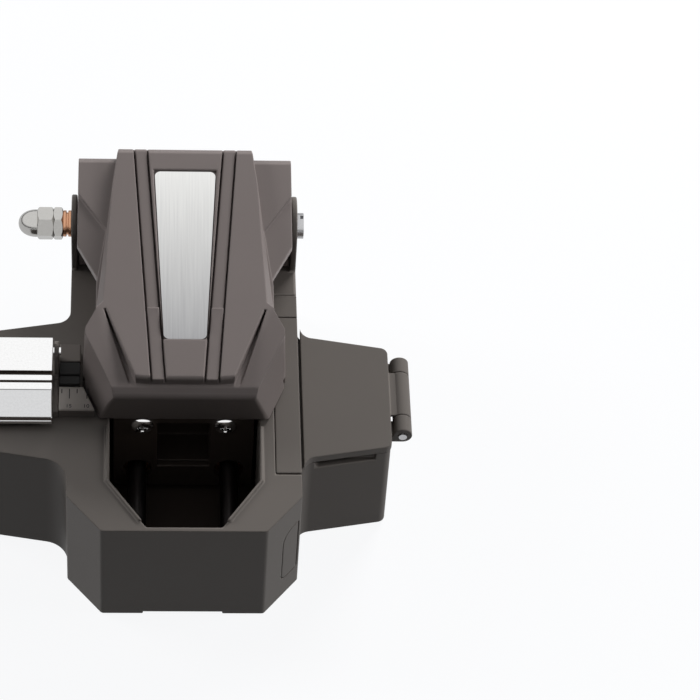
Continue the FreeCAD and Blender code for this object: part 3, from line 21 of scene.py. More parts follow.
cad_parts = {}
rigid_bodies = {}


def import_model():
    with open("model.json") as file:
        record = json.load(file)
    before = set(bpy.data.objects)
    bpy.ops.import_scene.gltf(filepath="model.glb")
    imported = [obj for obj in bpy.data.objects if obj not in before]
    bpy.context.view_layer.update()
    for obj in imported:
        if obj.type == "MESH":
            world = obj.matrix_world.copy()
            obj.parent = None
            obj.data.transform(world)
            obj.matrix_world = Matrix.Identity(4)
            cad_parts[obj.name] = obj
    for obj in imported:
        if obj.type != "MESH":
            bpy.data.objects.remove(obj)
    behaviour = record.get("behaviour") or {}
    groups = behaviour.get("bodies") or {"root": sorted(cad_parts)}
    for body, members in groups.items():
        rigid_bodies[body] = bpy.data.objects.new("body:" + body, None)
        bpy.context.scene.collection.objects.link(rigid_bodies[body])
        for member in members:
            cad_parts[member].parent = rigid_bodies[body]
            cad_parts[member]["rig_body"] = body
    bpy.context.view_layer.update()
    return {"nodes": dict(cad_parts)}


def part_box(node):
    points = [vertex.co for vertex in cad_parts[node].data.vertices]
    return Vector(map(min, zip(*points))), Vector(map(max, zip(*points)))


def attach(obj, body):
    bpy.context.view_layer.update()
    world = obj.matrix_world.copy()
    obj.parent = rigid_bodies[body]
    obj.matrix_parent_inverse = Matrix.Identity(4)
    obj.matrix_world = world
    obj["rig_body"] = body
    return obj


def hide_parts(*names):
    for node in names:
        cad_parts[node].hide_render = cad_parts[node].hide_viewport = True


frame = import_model()
nodes = frame["nodes"]
MM = 0.001

# %% [markdown]
# ## Camera
#
# The tool is seen from the front and well above, from almost a metre away with a long
# lens, so that its parallel edges stay almost parallel. It stands in the left half of the
# view, so the camera aims at a point beside it. A shifted lens would do that too, but then
# every other view would be shifted as well. The camera is held a little crooked, by ROLL.

# %% Camera
PLACE = Vector((-11.4, -587.0, 731.4))*MM
AIM = Vector((45.2, 14.1, 27.0))*MM
ROLL = math.radians(4.55)
SENSOR = 36.0
LENS = 175.6

camera_data = bpy.data.cameras.new("camera")
camera_data.sensor_width = SENSOR
camera_data.lens = LENS
camera = bpy.data.objects.new("camera", camera_data)
bpy.context.scene.collection.objects.link(camera)
facing = (AIM - PLACE).to_track_quat("-Z", "Y").to_matrix() @ Matrix.Rotation(ROLL, 3, "Z")
camera.matrix_world = Matrix.Translation(PLACE) @ facing.to_4x4()
bpy.context.scene.camera = camera
bpy.context.scene.view_settings.view_transform = "Standard"
print("camera", round((AIM - PLACE).length, 3), "m from its aim")

# %% [markdown]
# ## Shader maths as Python
#
# A node tree is easier to read as an expression than as a pile of links. `Wire` holds one
# output socket, and its operators add Math nodes, so `mask*0.5 + 1` builds two of them.

# %% Wires
class Wire:
    """An output socket whose operators add Math nodes."""

    def __init__(self, tree, socket):
        self.tree = tree
        self.socket = socket

    def maths(self, operation, *values):
        return self.tree.add("ShaderNodeMath", {"operation": operation}, *values)

    def __add__(self, other):
        return self.maths("ADD", self, other)

    def __sub__(self, other):
        return self.maths("SUBTRACT", self, other)

    def __mul__(self, other):
        return self.maths("MULTIPLY", self, other)

    __radd__ = __add__

    def clamped(self):
        return self.tree.add("ShaderNodeClamp", {}, self)


class Shades:
    """The node tree of one material."""

    def __init__(self, name):
        self.material = bpy.data.materials.new(name)
        self.material.use_nodes = True
        self.nodes = self.material.node_tree.nodes
        self.links = self.material.node_tree.links
        self.surface = self.nodes["Principled BSDF"]

    def put(self, socket, value):
        if isinstance(value, Wire):
            self.links.new(value.socket, socket)
        else:
            socket.default_value = value

    def add(self, kind, settings, *values, out=0, **named):
        """Add a node: its settings first, then the values or wires of its sockets."""
        node = self.nodes.new(kind)
        for key, value in settings.items():
            setattr(node, key, value)
        for index, value in enumerate(values):
            self.put(node.inputs[index], value)
        for key, value in named.items():
            self.put(node.inputs[key.replace("_", " ")], value)
        return Wire(self, node.outputs[out])

    def place(self, stretch=(1, 1, 1)):
        """Object coordinates, scaled along each axis. A small scale makes a pattern long."""
        where = self.add("ShaderNodeTexCoord", {}, out=3)
        return self.add("ShaderNodeMapping", {}, where, Scale=stretch)

    def noise(self, scale, detail=2.0, stretch=(1, 1, 1)):
        return self.add("ShaderNodeTexNoise", {}, Vector=self.place(stretch), Scale=scale, Detail=detail)

    def mix(self, share, first, second):
        """A blend of two colours."""
        node = self.nodes.new("ShaderNodeMix")
        node.data_type = "RGBA"
        colours = [s for s in node.inputs if s.type == "RGBA"]
        self.put(node.inputs[0], share)
        for socket, colour in zip(colours, (first, second)):
            self.put(socket, colour if isinstance(colour, Wire) else (*colour, 1))
        return Wire(self, next(s for s in node.outputs if s.type == "RGBA"))

    def bump(self, height, distance, strength=1.0, soften=0.0):
        """Bumps of a height, on a surface whose creases may be softened to a radius."""
        bumps = self.add("ShaderNodeBump", {}, Height=height, Distance=distance, Strength=strength)
        if soften:
            soft = self.add("ShaderNodeBevel", {"samples": 6}, Radius=soften)
            self.links.new(soft.socket, bumps.socket.node.inputs["Normal"])
        return bumps

    def finish(self, **sockets):
        """Fill the Principled shader's sockets and give the material back."""
        for key, value in sockets.items():
            self.put(self.surface.inputs[key.replace("_", " ")], value)
        return self.material


def plain_colour(red, green, blue):
    """An sRGB colour, 0 to 255, as the linear triple that shaders use."""
    def linear(value):
        share = value/255
        return share/12.92 if share <= 0.04045 else ((share + 0.055)/1.055)**2.4
    return tuple(linear(value) for value in (red, green, blue))


print("shader helpers ready")

# %% [markdown]
# ## The paint
#
# The castings are powder coated in a warm dark grey. Powder coat melts into a satin skin
# with a very fine orange peel, a little cloudier in some places than in others. Edges that
# hands rub turn slightly smoother and lighter, so bevels get their own version of the
# paint; on the base that version is much lighter, a painted highlight on its rounded ridges.
# Noise on object coordinates gives the grain its real size on every piece.

# %% Paint
SOFT_CREASE = 0.5*MM


def paint(name, colour, roughness, edge_wear_and_sheen=0.0):
    """Powder coat. The more edge wear and sheen it has, from 0 to 1, the lighter and smoother it is; the
    sheen part is a painted highlight.
    """
    shades = Shades(name)
    cloud = shades.noise(55.0, 3.0)
    grain = shades.noise(2600.0, 2.0)
    speck = shades.noise(900.0, 4.0)
    light = tuple(min(1, c*(1.05 + edge_wear_and_sheen)) for c in colour)
    dark = tuple(c*(0.95 + edge_wear_and_sheen) for c in colour)
    tone = shades.mix(cloud*0.7 + speck*0.3, dark, light)
    return shades.finish(Base_Color=tone, Roughness=roughness - 0.12*edge_wear_and_sheen + (speck - 0.5)*0.08,
                         Specular_IOR_Level=0.32,
                         Normal=shades.bump(grain + speck*0.6, 0.012*MM, 0.7, soften=SOFT_CREASE))


# One real paint in two copies: the lever's is lighter, painted light on its lit top, and the base's is
# darker, painted shade on its decks.
LEVER_GREY_LIT = plain_colour(119, 111, 109)
BASE_GREY_SHADED = plain_colour(99, 94, 90)
LEVER_PAINT = paint("lever_paint", LEVER_GREY_LIT, 0.46)
LEVER_EDGE = paint("lever_paint_edge", LEVER_GREY_LIT, 0.43, edge_wear_and_sheen=0.12)
BASE_PAINT = paint("base_paint", BASE_GREY_SHADED, 0.48)
# The base's edges are lighter than rubbing makes them: a painted highlight on the rounded ridges round
# the well.
BASE_EDGE = paint("base_paint_edge", BASE_GREY_SHADED, 0.42, edge_wear_and_sheen=0.30)
# A dark paint for the parts in the well and under the clamp. In the well it also stands in for the shade
# under the lever's lip, and on the holder lid it is painted shade.
DARK_PAINT_AND_SHADE = paint("well_black", plain_colour(58, 50, 45), 0.60)
STONE_GREY = paint("stone_grey", plain_colour(108, 102, 98), 0.50)
# The ruler's light grey is lightened beyond its own colour: painted light for what the plate reflects
# where it lies in the lever's shade.
RULER_GREY_AND_SHEEN = paint("ruler_grey", plain_colour(206, 199, 193), 0.45)
print("paints", LEVER_PAINT.name, BASE_PAINT.name, DARK_PAINT_AND_SHADE.name, STONE_GREY.name)

# %% [markdown]
# ## The metals
#
# Chrome plate is almost a mirror, with a faint haze, and nickel plate is a duller one.
# Ground steel keeps fine straight scratches, which a noise imitates that is fine along one
# axis and long along the others. Bronze is turned, so its tool marks run round. Each is a
# metallic shader whose roughness varies a little.

# %% Metals
def metal(name, colour, roughness, scratch=0.0, stretch=(1, 1, 1), depth=0.004):
    """A metal. Its scratches have a depth in millimetres and are long where stretch is small."""
    shades = Shades(name)
    haze = shades.noise(120.0, 3.0)
    lines = shades.noise(1800.0, 3.0, stretch)
    dark = tuple(c*0.92 for c in colour)
    light = tuple(min(1, c*1.05) for c in colour)
    return shades.finish(Base_Color=shades.mix(lines, dark, light), Metallic=1.0,
                         Roughness=roughness + (haze - 0.5)*0.06 + (lines - 0.5)*scratch,
                         Normal=shades.bump(lines, depth*MM, 0.8))


CHROME = metal("chrome", (0.95, 0.95, 0.95), 0.04, depth=0.0001)
NICKEL = metal("nickel_plate", (0.56, 0.55, 0.53), 0.16, depth=0.0004)
STEEL = metal("ground_steel", (0.56, 0.56, 0.57), 0.28, 0.12, (1, 0.06, 0.06), depth=0.002)
DARK_STEEL = metal("dark_steel", (0.10, 0.09, 0.09), 0.35, 0.08, (1, 0.06, 0.06), depth=0.001)
BLADE_STEEL = metal("blade_steel", (0.66, 0.66, 0.67), 0.16, 0.08, (0.08, 1, 1), depth=0.0006)
BRONZE = metal("copper_bronze", (0.66, 0.36, 0.22), 0.26, 0.08, (1, 0.1, 0.1), depth=0.001)
print("metals", CHROME.name, STEEL.name, BLADE_STEEL.name, BRONZE.name)


# %% The plate's brushed silver, with a painted reflection
SHADED_FRONT_SILVER, LIT_REAR_SILVER = (0.36, 0.36, 0.37), (0.90, 0.90, 0.88)


def brushed_plate():
    """Silver with lines along the plate, darker towards the front: a painted reflection of the bright
    studio behind it.
    """
    shades = Shades("silver_plate")
    lines = shades.noise(2400.0, 4.0, (1, 0.02, 0.02))
    low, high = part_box("nameplate")
    where = shades.add("ShaderNodeTexCoord", {}, out=3)
    along = shades.add("ShaderNodeSeparateXYZ", {}, where, out=1)
    rise = ((along - low.y)*(1/(high.y - low.y))).clamped()
    # The plate darkens towards the front: a painted reflection, bright at the back and dark at the
    # front.
    share = rise*0.85 + (lines - 0.5)*0.35 + 0.06
    tone = shades.mix(share, SHADED_FRONT_SILVER, LIT_REAR_SILVER)
    return shades.finish(Base_Color=tone, Metallic=1.0, Roughness=0.33 + (lines - 0.5)*0.16,
                         Normal=shades.bump(lines, 0.0015*MM, 0.8))


SILVER_PLATE = brushed_plate()
print("plate finish", SILVER_PLATE.name)

# %% [markdown]
# ## Rubber, plastic and ink

# %% Soft materials and ink
def moulded(name, colour, roughness, grain_scale, depth):
    """A dull material with a fine grain, whose depth is in millimetres."""
    shades = Shades(name)
    grain = shades.noise(grain_scale, 3.0)
    tone = shades.mix(grain, tuple(c*0.8 for c in colour), tuple(c*1.2 for c in colour))
    return shades.finish(Base_Color=tone, Roughness=roughness + (grain - 0.5)*0.1,
                         Specular_IOR_Level=0.25,
                         Normal=shades.bump(grain, depth*MM, 0.8))


RUBBER = moulded("rubber", plain_colour(34, 33, 33), 0.78, 1500.0, 0.03)
BLACK_PLASTIC = moulded("black_plastic", plain_colour(18, 17, 17), 0.6, 2200.0, 0.008)
INK = moulded("black_ink", plain_colour(22, 22, 22), 0.55, 3000.0, 0.002)
WHITE_RING = moulded("white_ring", plain_colour(238, 238, 236), 0.45, 2000.0, 0.003)
print("soft materials", RUBBER.name, BLACK_PLASTIC.name, INK.name, WHITE_RING.name)

# %% [markdown]
# ## Rounded edges
#
# A casting has no knife edges. The CAD solids come in as loose triangles, so each visible
# casting is copied, its points are merged and its flat triangles joined. A bevel then
# rounds every edge where the surface turns by more than 28 degrees. Its width is set edge by
# edge: as wide as that place of the casting asks for, and never more than the faces beside
# it have room for. The bevel's own faces take the lighter edge paint, which is rubbed paint
# and, on the base, a painted highlight, and weighted normals keep the large faces flat in
# the light.

# %% Pieces
SAME_POINT = 0.002*MM
SAME_PLANE = math.radians(0.6)


def plain_mesh(piece):
    """The mesh that a piece shows, with its modifiers worked in."""
    bpy.context.view_layer.update()
    graph = bpy.context.evaluated_depsgraph_get()
    return bpy.data.meshes.new_from_object(piece.evaluated_get(graph))


def as_plain(piece):
    """Apply a piece's modifiers and leave a plain mesh."""
    mesh = plain_mesh(piece)
    piece.modifiers.clear()
    piece.data = mesh
    return piece


def new_piece(name, mesh, *materials):
    """A new object in the scene that shows the mesh in its materials."""
    piece = bpy.data.objects.new(name, mesh)
    bpy.context.scene.collection.objects.link(piece)
    for material in materials:
        mesh.materials.append(material)
    return piece


def one_finish(piece, material):
    """The whole piece in one material."""
    piece.data.materials.clear()
    piece.data.materials.append(material)
    for polygon in piece.data.polygons:
        polygon.material_index = 0
    return piece


def carried(piece, body, slot, *stands_for):
    """Put a finished piece on its body and hide the nodes that it stands for. The slot is not used."""
    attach(piece, body)
    if stands_for:
        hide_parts(*stands_for)
    print(f"{piece.name}: {len(piece.data.polygons)} faces on {body}")
    return piece


def merged(node):
    """A CAD node's mesh with its points merged and its flat triangles joined."""
    loose = bmesh.new()
    loose.from_mesh(nodes[node].data)
    bmesh.ops.remove_doubles(loose, verts=loose.verts, dist=SAME_POINT)
    bmesh.ops.dissolve_limit(loose, angle_limit=SAME_PLANE, verts=loose.verts, edges=loose.edges)
    return loose


def mesh_of(loose, name):
    """Turn a BMesh into a mesh, and free it."""
    mesh = bpy.data.meshes.new(name)
    loose.to_mesh(mesh)
    loose.free()
    return mesh


# %% How wide each edge can be rounded
# A metre of room stands for no limit. A corner is square to a crease when its foot lies on
# the crease, give or take a share of its length. Two edges run on into each other when the
# cosine between their ways out of the shared corner is low enough.
UNLIMITED = 1.0
CREASE = math.radians(1)
ROOM_SHARE = 0.46
PAST_END = 0.001
RUNS_ON = -0.8


def room_on_faces(loose):
    """For each edge, a little under half of the way across the faces beside it, in metres.

    On each face, every corner that stands square to a crease limits that crease, and the
    edges that meet in that corner, by its distance.
    """
    room = np.full(len(loose.edges), UNLIMITED)
    for face in loose.faces:
        lines = [line for line in face.edges if line.calc_face_angle(0) > CREASE]
        if not lines:
            continue
        corners = list(face.verts)
        starts = np.array([line.verts[0].co for line in lines])
        spans = np.array([line.verts[1].co for line in lines]) - starts
        points = np.array([corner.co for corner in corners])
        reach = points[:, None] - starts[None]
        share = (reach*spans).sum(2)/(spans*spans).sum(1)
        away = np.linalg.norm(reach - share[..., None]*spans, axis=2)
        square = (share > -PAST_END) & (share < 1 + PAST_END) & (away > SAME_POINT)
        for which, line in zip(*np.nonzero(square)):
            half = ROOM_SHARE*away[which, line]
            touched = [lines[line], *(e for e in corners[which].link_edges if face in e.link_faces)]
            for edge in touched:
                room[edge.index] = min(room[edge.index], half)
    return room


def widths_of(sharp_edges, room, width):
    """The width of each sharp edge in metres. Edges that run on into each other share theirs."""
    same = {line: line for line in sharp_edges}

    def first(line):
        while same[line] is not line:
            line = same[line]
        return line

    for corner in {corner for line in sharp_edges for corner in line.verts}:
        meeting = [line for line in corner.link_edges if line in same]
        ways = [(line.other_vert(corner).co - corner.co).normalized() for line in meeting]
        for one in range(len(meeting)):
            for other in range(one):
                if ways[one].dot(ways[other]) < RUNS_ON:
                    same[first(meeting[one])] = first(meeting[other])
    shared = {}
    for line in sharp_edges:
        middle = (line.verts[0].co + line.verts[1].co)/2/MM
        wanted = (width(middle) if callable(width) else width)*MM
        chain = first(line)
        shared[chain] = min(shared.get(chain, UNLIMITED), wanted, room[line.index])
    return {line: shared[first(line)] for line in sharp_edges}


def dressed(node, material, slot, width, edge=None, segments=2, sharp=28.0):
    """A merged copy of a CAD node that stands for it, with rounded edges.

    The width is a number of millimetres, or a function of an edge's middle in millimetres.
    Only edges that turn by more than the sharp angle, in degrees, are rounded.
    """
    loose = merged(node)
    weight = loose.edges.layers.float.new("bevel_weight_edge")
    loose.edges.index_update()
    sharp_edges = [e for e in loose.edges if len(e.link_faces) == 2
                   and e.calc_face_angle(0) > math.radians(sharp)]
    widths = widths_of(sharp_edges, room_on_faces(loose), width)
    widest = max(widths.values())
    for line, wide in widths.items():
        line[weight] = wide/widest
    surface = BVHTree.FromBMesh(loose)
    mesh = mesh_of(loose, node + "_rounded")
    piece = new_piece(mesh.name, mesh, material, edge or material)
    for polygon in mesh.polygons:
        polygon.material_index = 0
        polygon.use_smooth = True
    bevel = piece.modifiers.new("round", "BEVEL")
    bevel.width = widest
    bevel.segments = segments
    bevel.limit_method = "WEIGHT"
    # The bevel's faces take the edge paint: rubbed paint, and on the base a painted highlight.
    bevel.material = 1
    bevel.use_clamp_overlap = False
    weigh = piece.modifiers.new("flat faces", "WEIGHTED_NORMAL")
    weigh.keep_sharp = False
    as_plain(piece)
    off = max(surface.find_nearest(point.co)[3] for point in piece.data.vertices)
    print(f"{node}: widest round {widest/MM:.2f} mm, at most {off/MM:.2f} mm off the casting")
    return carried(piece, nodes[node]["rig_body"], slot, node)


# %% Castings
# Where one width gives way to another, in millimetres.
NOSE_BACK = -14.5
SKIRT_TOP = 52.5
BLOCK_BACK = -40
BLOCK_HEIGHTS = (4, 34)
WELL_SIDE = 22
WELL_FRONT = -53


def lever_width(middle):
    """The nose is rounded most, then the skirts, and the raised panels least."""
    if middle.y < NOSE_BACK:
        return 2.0
    return 0.8 if middle.z < SKIRT_TOP else 0.42


def base_width(middle):
    """The outside corners of the front block are rounded more than the well's ridges."""
    if middle.y < BLOCK_BACK and BLOCK_HEIGHTS[0] < middle.z < BLOCK_HEIGHTS[1]:
        return 1.8
    outside = abs(middle.x) > WELL_SIDE or middle.y < WELL_FRONT
    return 0.9 if outside else 0.6


dressed("base_shell", BASE_PAINT, "painted", base_width, BASE_EDGE, segments=3)
dressed("lever_shell", LEVER_PAINT, "painted", lever_width, LEVER_EDGE, segments=3)
for node, width in (("bin_lid", 0.6), ("drive_cover", 0.12), ("rear_cover", 0.12),
                    ("release_button", 0.35)):
    dressed(node, BASE_PAINT, "painted", width, BASE_EDGE)

# %% Small plates and blocks
dressed("scrap_bin", BLACK_PLASTIC, "black_plastic", 0.25)
# Dark paint on the well's parts, which also stands in for the shade under the lever's lip.
for node in ("front_plate", "carriage_block"):
    dressed(node, DARK_PAINT_AND_SHADE, "dark_casting", 0.3)
dressed("ruler_plate", RULER_GREY_AND_SHEEN, "aluminium", 0.12)
for node in ("fibre_platform", "rear_guide_block", "holder_base"):
    dressed(node, STONE_GREY, "aluminium", 0.12)
dressed("fibre_guide", BLACK_PLASTIC, "black_plastic", 0.1)
dressed("nameplate", SILVER_PLATE, "aluminium", 0.14)
lid = dressed("holder_lid", CHROME, "chrome", 0.35, segments=3)

# %% The holder lid's bands of painted shade
# Between its polished stripes the lid gets dark paint in narrow bands: the ledge above the lip,
# the step in front of the ridge and the groove behind it. This is painted shade, for the shadow
# that falls in them. A band is given by where it starts and ends behind the lid's front, and
# the lid's top stays polished down to a depth. All are in millimetres.
SHADED_BANDS = ((0.1, 0.75), (5.0, 5.45), (6.9, 8.1))
POLISHED_TOP = 0.35
FACES_DOWN = -0.2
# Dark paint in the lid's second slot: painted shade in its ledge, step and groove.
lid.data.materials[1] = DARK_PAINT_AND_SHADE
lid_low, lid_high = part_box("holder_lid")


def is_dull(place, normal):
    """True for a face that lies in a band of painted shade and doesn't look down."""
    behind = (place.y - lid_low.y)/MM
    in_band = any(start < behind < end for start, end in SHADED_BANDS)
    return in_band and place.z < lid_high.z - POLISHED_TOP*MM and normal.z > FACES_DOWN


for polygon in lid.data.polygons:
    polygon.material_index = int(is_dull(polygon.center, polygon.normal))
print("painted shade faces of the lid:", sum(polygon.material_index for polygon in lid.data.polygons))

# %% [markdown]
# ## Copies of one shape
#
# Screws, feet, ruler ticks and the dots on the blade are one shape each, repeated. The
# shape is modelled once at the origin. A small Geometry Nodes tree puts a copy of it on
# each point of a mesh, makes the copies real and gives them their material. For screws and
# feet the points come from the CAD model itself, one from each separate solid of a node.

# %% A tree that copies a shape to points
def copies_tree():
    """The Geometry Nodes tree that copies_of uses."""
    tree = bpy.data.node_groups.new("copies of one shape", "GeometryNodeTree")
    for name, kind in (("Points", "NodeSocketGeometry"), ("Shape", "NodeSocketObject"),
                       ("Finish", "NodeSocketMaterial")):
        tree.interface.new_socket(name=name, in_out="INPUT", socket_type=kind)
    tree.interface.new_socket(name="Copies", in_out="OUTPUT", socket_type="NodeSocketGeometry")
    given = tree.nodes.new("NodeGroupInput")
    result = tree.nodes.new("NodeGroupOutput")
    shape = tree.nodes.new("GeometryNodeObjectInfo")
    copies = tree.nodes.new("GeometryNodeInstanceOnPoints")
    real = tree.nodes.new("GeometryNodeRealizeInstances")
    finish = tree.nodes.new("GeometryNodeSetMaterial")
    for start, name, end, socket in (
            (given, "Shape", shape, "Object"), (given, "Points", copies, "Points"),
            (shape, "Geometry", copies, "Instance"), (copies, "Instances", real, "Geometry"),
            (real, "Geometry", finish, "Geometry"), (given, "Finish", finish, "Material"),
            (finish, "Geometry", result, "Copies")):
        tree.links.new(start.outputs[name], end.inputs[socket])
    return tree


COPIES = copies_tree()


def copies_of(shape, places, name, material):
    """One mesh that holds a copy of the shape at each place."""
    points = bpy.data.meshes.new(name)
    points.from_pydata([tuple(place) for place in places], [], [])
    piece = new_piece(name, points)
    made = piece.modifiers.new("copies", "NODES")
    made.node_group = COPIES
    sockets = {item.name: item.identifier for item in COPIES.interface.items_tree
               if item.in_out == "INPUT"}
    made[sockets["Shape"]] = shape
    made[sockets["Finish"]] = material
    as_plain(piece)
    bpy.data.objects.remove(shape)
    return one_finish(piece, material)


def solids_of(node):
    """The corner points of each separate solid of a CAD node, as arrays."""
    loose = merged(node)
    reached = set()
    solids = []
    for start in loose.verts:
        if start in reached:
            continue
        reached.add(start)
        found = [start]
        for corner in found:
            for line in corner.link_edges:
                other = line.other_vert(corner)
                if other not in reached:
                    reached.add(other)
                    found.append(other)
        solids.append(np.array([corner.co for corner in found]))
    loose.free()
    return solids


print("separate bottom screws:", len(solids_of("bottom_screws")))

# %% [markdown]
# ## Turned pieces
#
# Screws, nuts, bushes and feet are turned on a lathe. A turned piece is a list of radii
# and heights, swept round its axis. Each is made standing on Z and then laid along the
# axis that it needs, with that turn written into its mesh.

# %% Lathe
# Each matrix lays a piece that stands on +Z along another axis.
TO_AXIS = {"+z": Matrix.Identity(4), "-z": Matrix.Rotation(math.pi, 4, "X"),
           "-y": Matrix.Rotation(math.pi/2, 4, "X"), "+x": Matrix.Rotation(math.pi/2, 4, "Y"),
           "-x": Matrix.Rotation(-math.pi/2, 4, "Y")}


def turned(name, profile, axis="+z", steps=48, ring=False):
    """A solid of revolution from (radius, height) pairs in millimetres.

    A ring's profile closes on itself, and any other starts and ends on the axis.
    """
    shape = bmesh.new()
    rows = []
    for radius, height in profile:
        if radius == 0:
            rows.append([shape.verts.new((0, 0, height*MM))]*steps)
            continue
        turns = [2*math.pi*step/steps for step in range(steps)]
        rows.append([shape.verts.new((radius*MM*math.cos(t), radius*MM*math.sin(t), height*MM))
                     for t in turns])
    pairs = list(zip(rows, rows[1:] + rows[:1] if ring else rows[1:]))
    for low, high in pairs:
        for step in range(steps):
            after = (step + 1) % steps
            corners = dict.fromkeys((low[step], low[after], high[after], high[step]))
            if len(corners) > 2:
                shape.faces.new(corners)
    bmesh.ops.recalc_face_normals(shape, faces=shape.faces)
    bmesh.ops.transform(shape, matrix=TO_AXIS[axis], verts=shape.verts)
    mesh = mesh_of(shape, name)
    for polygon in mesh.polygons:
        polygon.use_smooth = True
    return new_piece(name, mesh)


def moved(piece, place):
    """Write a new place into the points of a piece."""
    for point in piece.data.vertices:
        point.co += Vector(place)
    return piece


def quarter(steps):
    """The angles of a quarter turn."""
    return [math.pi/2*step/steps for step in range(steps + 1)]


def soft_corner(radius, height, round_mm):
    """Points of a quarter round between a wall and a flat face, from the wall to the face."""
    return [(radius - round_mm + round_mm*math.cos(t), height + round_mm*(math.sin(t) - 1))
            for t in quarter(4)]


LOW_ENDS = 0.45
LOW_SIDES = 0.8


def crossed(shape, arm_long, arm_wide, deep, axis):
    """Cut a cross recess, with arms that taper downwards, into a screw whose top is at zero."""
    cutter = bmesh.new()
    for long, wide in ((arm_long, arm_wide), (arm_wide, arm_long)):
        block = bmesh.ops.create_cube(cutter, size=1.0)["verts"]
        for corner in block:
            low = corner.co.z < 0
            ends, sides = (LOW_ENDS, LOW_SIDES) if low else (1.0, 1.0)
            reach_x = long*(ends if long > wide else sides)
            reach_y = wide*(ends if wide > long else sides)
            corner.co = Vector((corner.co.x*reach_x, corner.co.y*reach_y, -deep if low else deep))*MM
    bmesh.ops.transform(cutter, matrix=TO_AXIS[axis], verts=cutter.verts)
    tool = new_piece("cross", mesh_of(cutter, "cross"))
    cut = shape.modifiers.new("cross", "BOOLEAN")
    cut.object = tool
    cut.operation = "DIFFERENCE"
    cut.solver = "EXACT"
    cut.use_self = True
    as_plain(shape)
    bpy.data.objects.remove(tool)
    return shape


def sharpened(piece, degrees=40.0):
    """Mark creases, so that flat faces and turned ones both shade as they should."""
    for polygon in piece.data.polygons:
        polygon.use_smooth = True
    piece.data.set_sharp_from_angle(angle=math.radians(degrees))
    return piece


print("lathe ready")

# %% [markdown]
# ## Screws
#
# The two screws in the carriage's front plate have polished domed heads. The clamp arm's
# and the bottom plate's screws are flat. All have a cross recess. Each keeps the head,
# shank and lengths of its CAD solid, which are read from that solid's own corner points.

# %% Screws
AXIS_INDEX = {"-y": 1, "-z": 2}
# Shares of the head's radius or of its height.
HEAD_WALL = 0.97
DOME_RISE = 0.75
RIM_ROUND = 0.25
CROSS_LONG = 1.25
CROSS_WIDE = 0.26
CROSS_DEEP = 0.55


def screw_sizes(points, axis):
    """Middle of the head's top, head and shank radii, head and whole lengths, in mm."""
    index = AXIS_INDEX[axis]
    across = [i for i in range(3) if i != index]
    middle = (points.min(0) + points.max(0))/2
    top = points[:, index].min()
    radius = np.hypot(*(points[:, across] - middle[across]).T)
    head = radius.max()
    under_head = points[radius > HEAD_WALL*head, index].max()
    shank = radius[points[:, index] > under_head + 0.05*MM].max()
    middle[index] = top
    return middle, head/MM, shank/MM, (under_head - top)/MM, (points[:, index].max() - top)/MM


def make_screws(node, axis, material, dome):
    """Turned screws with a cross recess, in the place of a node's plain ones."""
    sizes = [screw_sizes(points, axis) for points in solids_of(node)]
    _, head, shank, head_long, whole_long = sizes[0]
    if dome:
        crown = [(head*math.cos(t), -DOME_RISE*head_long*(1 - math.sin(t))) for t in quarter(10)]
    else:
        crown = soft_corner(head, 0.0, RIM_ROUND*head_long)
    crown[-1] = (0, 0)
    profile = [(0, -whole_long), (shank, -whole_long), (shank, -head_long), (head, -head_long), *crown]
    shape = turned(node + "_one", profile, axis)
    crossed(shape, CROSS_LONG*head, CROSS_WIDE*head, CROSS_DEEP*head_long, axis)
    screws = copies_of(shape, [place for place, *_ in sizes], node + "_turned", material)
    carried(sharpened(screws), nodes[node]["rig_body"], "steel", node)


make_screws("carriage_screws", "-y", CHROME, dome=True)
make_screws("arm_screws", "-z", STEEL, dome=False)
make_screws("bottom_screws", "-z", STEEL, dome=False)

# %% [markdown]
# ## Rubber feet
#
# Pressed feet with a rounded lower rim and a shallow dish in the middle, so that they
# stand on a ring.

# %% Feet
# The dish's two radii are shares of the foot's. The other sizes are in millimetres.
FOOT_RIM = 0.5
DISH_RIM, DISH_FLOOR = 0.62, 0.55
DISH_DEEP = 0.3
feet = solids_of("rubber_feet")
foot_wide, _, foot_thick = (feet[0].max(0) - feet[0].min(0))/MM
foot_round = foot_wide/2
rim = [(radius, -height) for radius, height in soft_corner(foot_round, foot_thick, FOOT_RIM)]
dish_z = DISH_DEEP - foot_thick
foot = turned("foot", [(0, 0), (foot_round, 0), *rim, (DISH_RIM*foot_round, -foot_thick),
                       (DISH_FLOOR*foot_round, dish_z), (0, dish_z)])
tops = [Vector((*((solid.min(0) + solid.max(0))/2)[:2], solid[:, 2].max())) for solid in feet]
carried(sharpened(copies_of(foot, tops, "rubber_feet_turned", RUBBER)), "base", "rubber", "rubber_feet")

# %% [markdown]
# ## Nuts and bush
#
# A hexagon nut is turned at its ends before its flats are milled, which leaves a curved
# chamfer on each corner. The same comes from keeping only what the CAD nut and a turned
# blank have in common. The copper bush is two thin rings with a groove between them.

# %% Nuts
NUT_EDGE = 25.0
BLANK_SPARE = 0.05
CHAMFER_SLOPE = 0.75


def common(piece, blank):
    """Keep only what the piece shares with the blank."""
    keep = piece.modifiers.new("blank", "BOOLEAN")
    keep.object = blank
    keep.operation = "INTERSECT"
    keep.solver = "EXACT"
    as_plain(piece)
    bpy.data.objects.remove(blank)
    return piece


def plated(piece, *stands_for):
    """Nickel plate on a nut, whose flats and dome shade apart."""
    return carried(sharpened(one_finish(piece, NICKEL), NUT_EDGE), "base", "chrome", *stands_for)


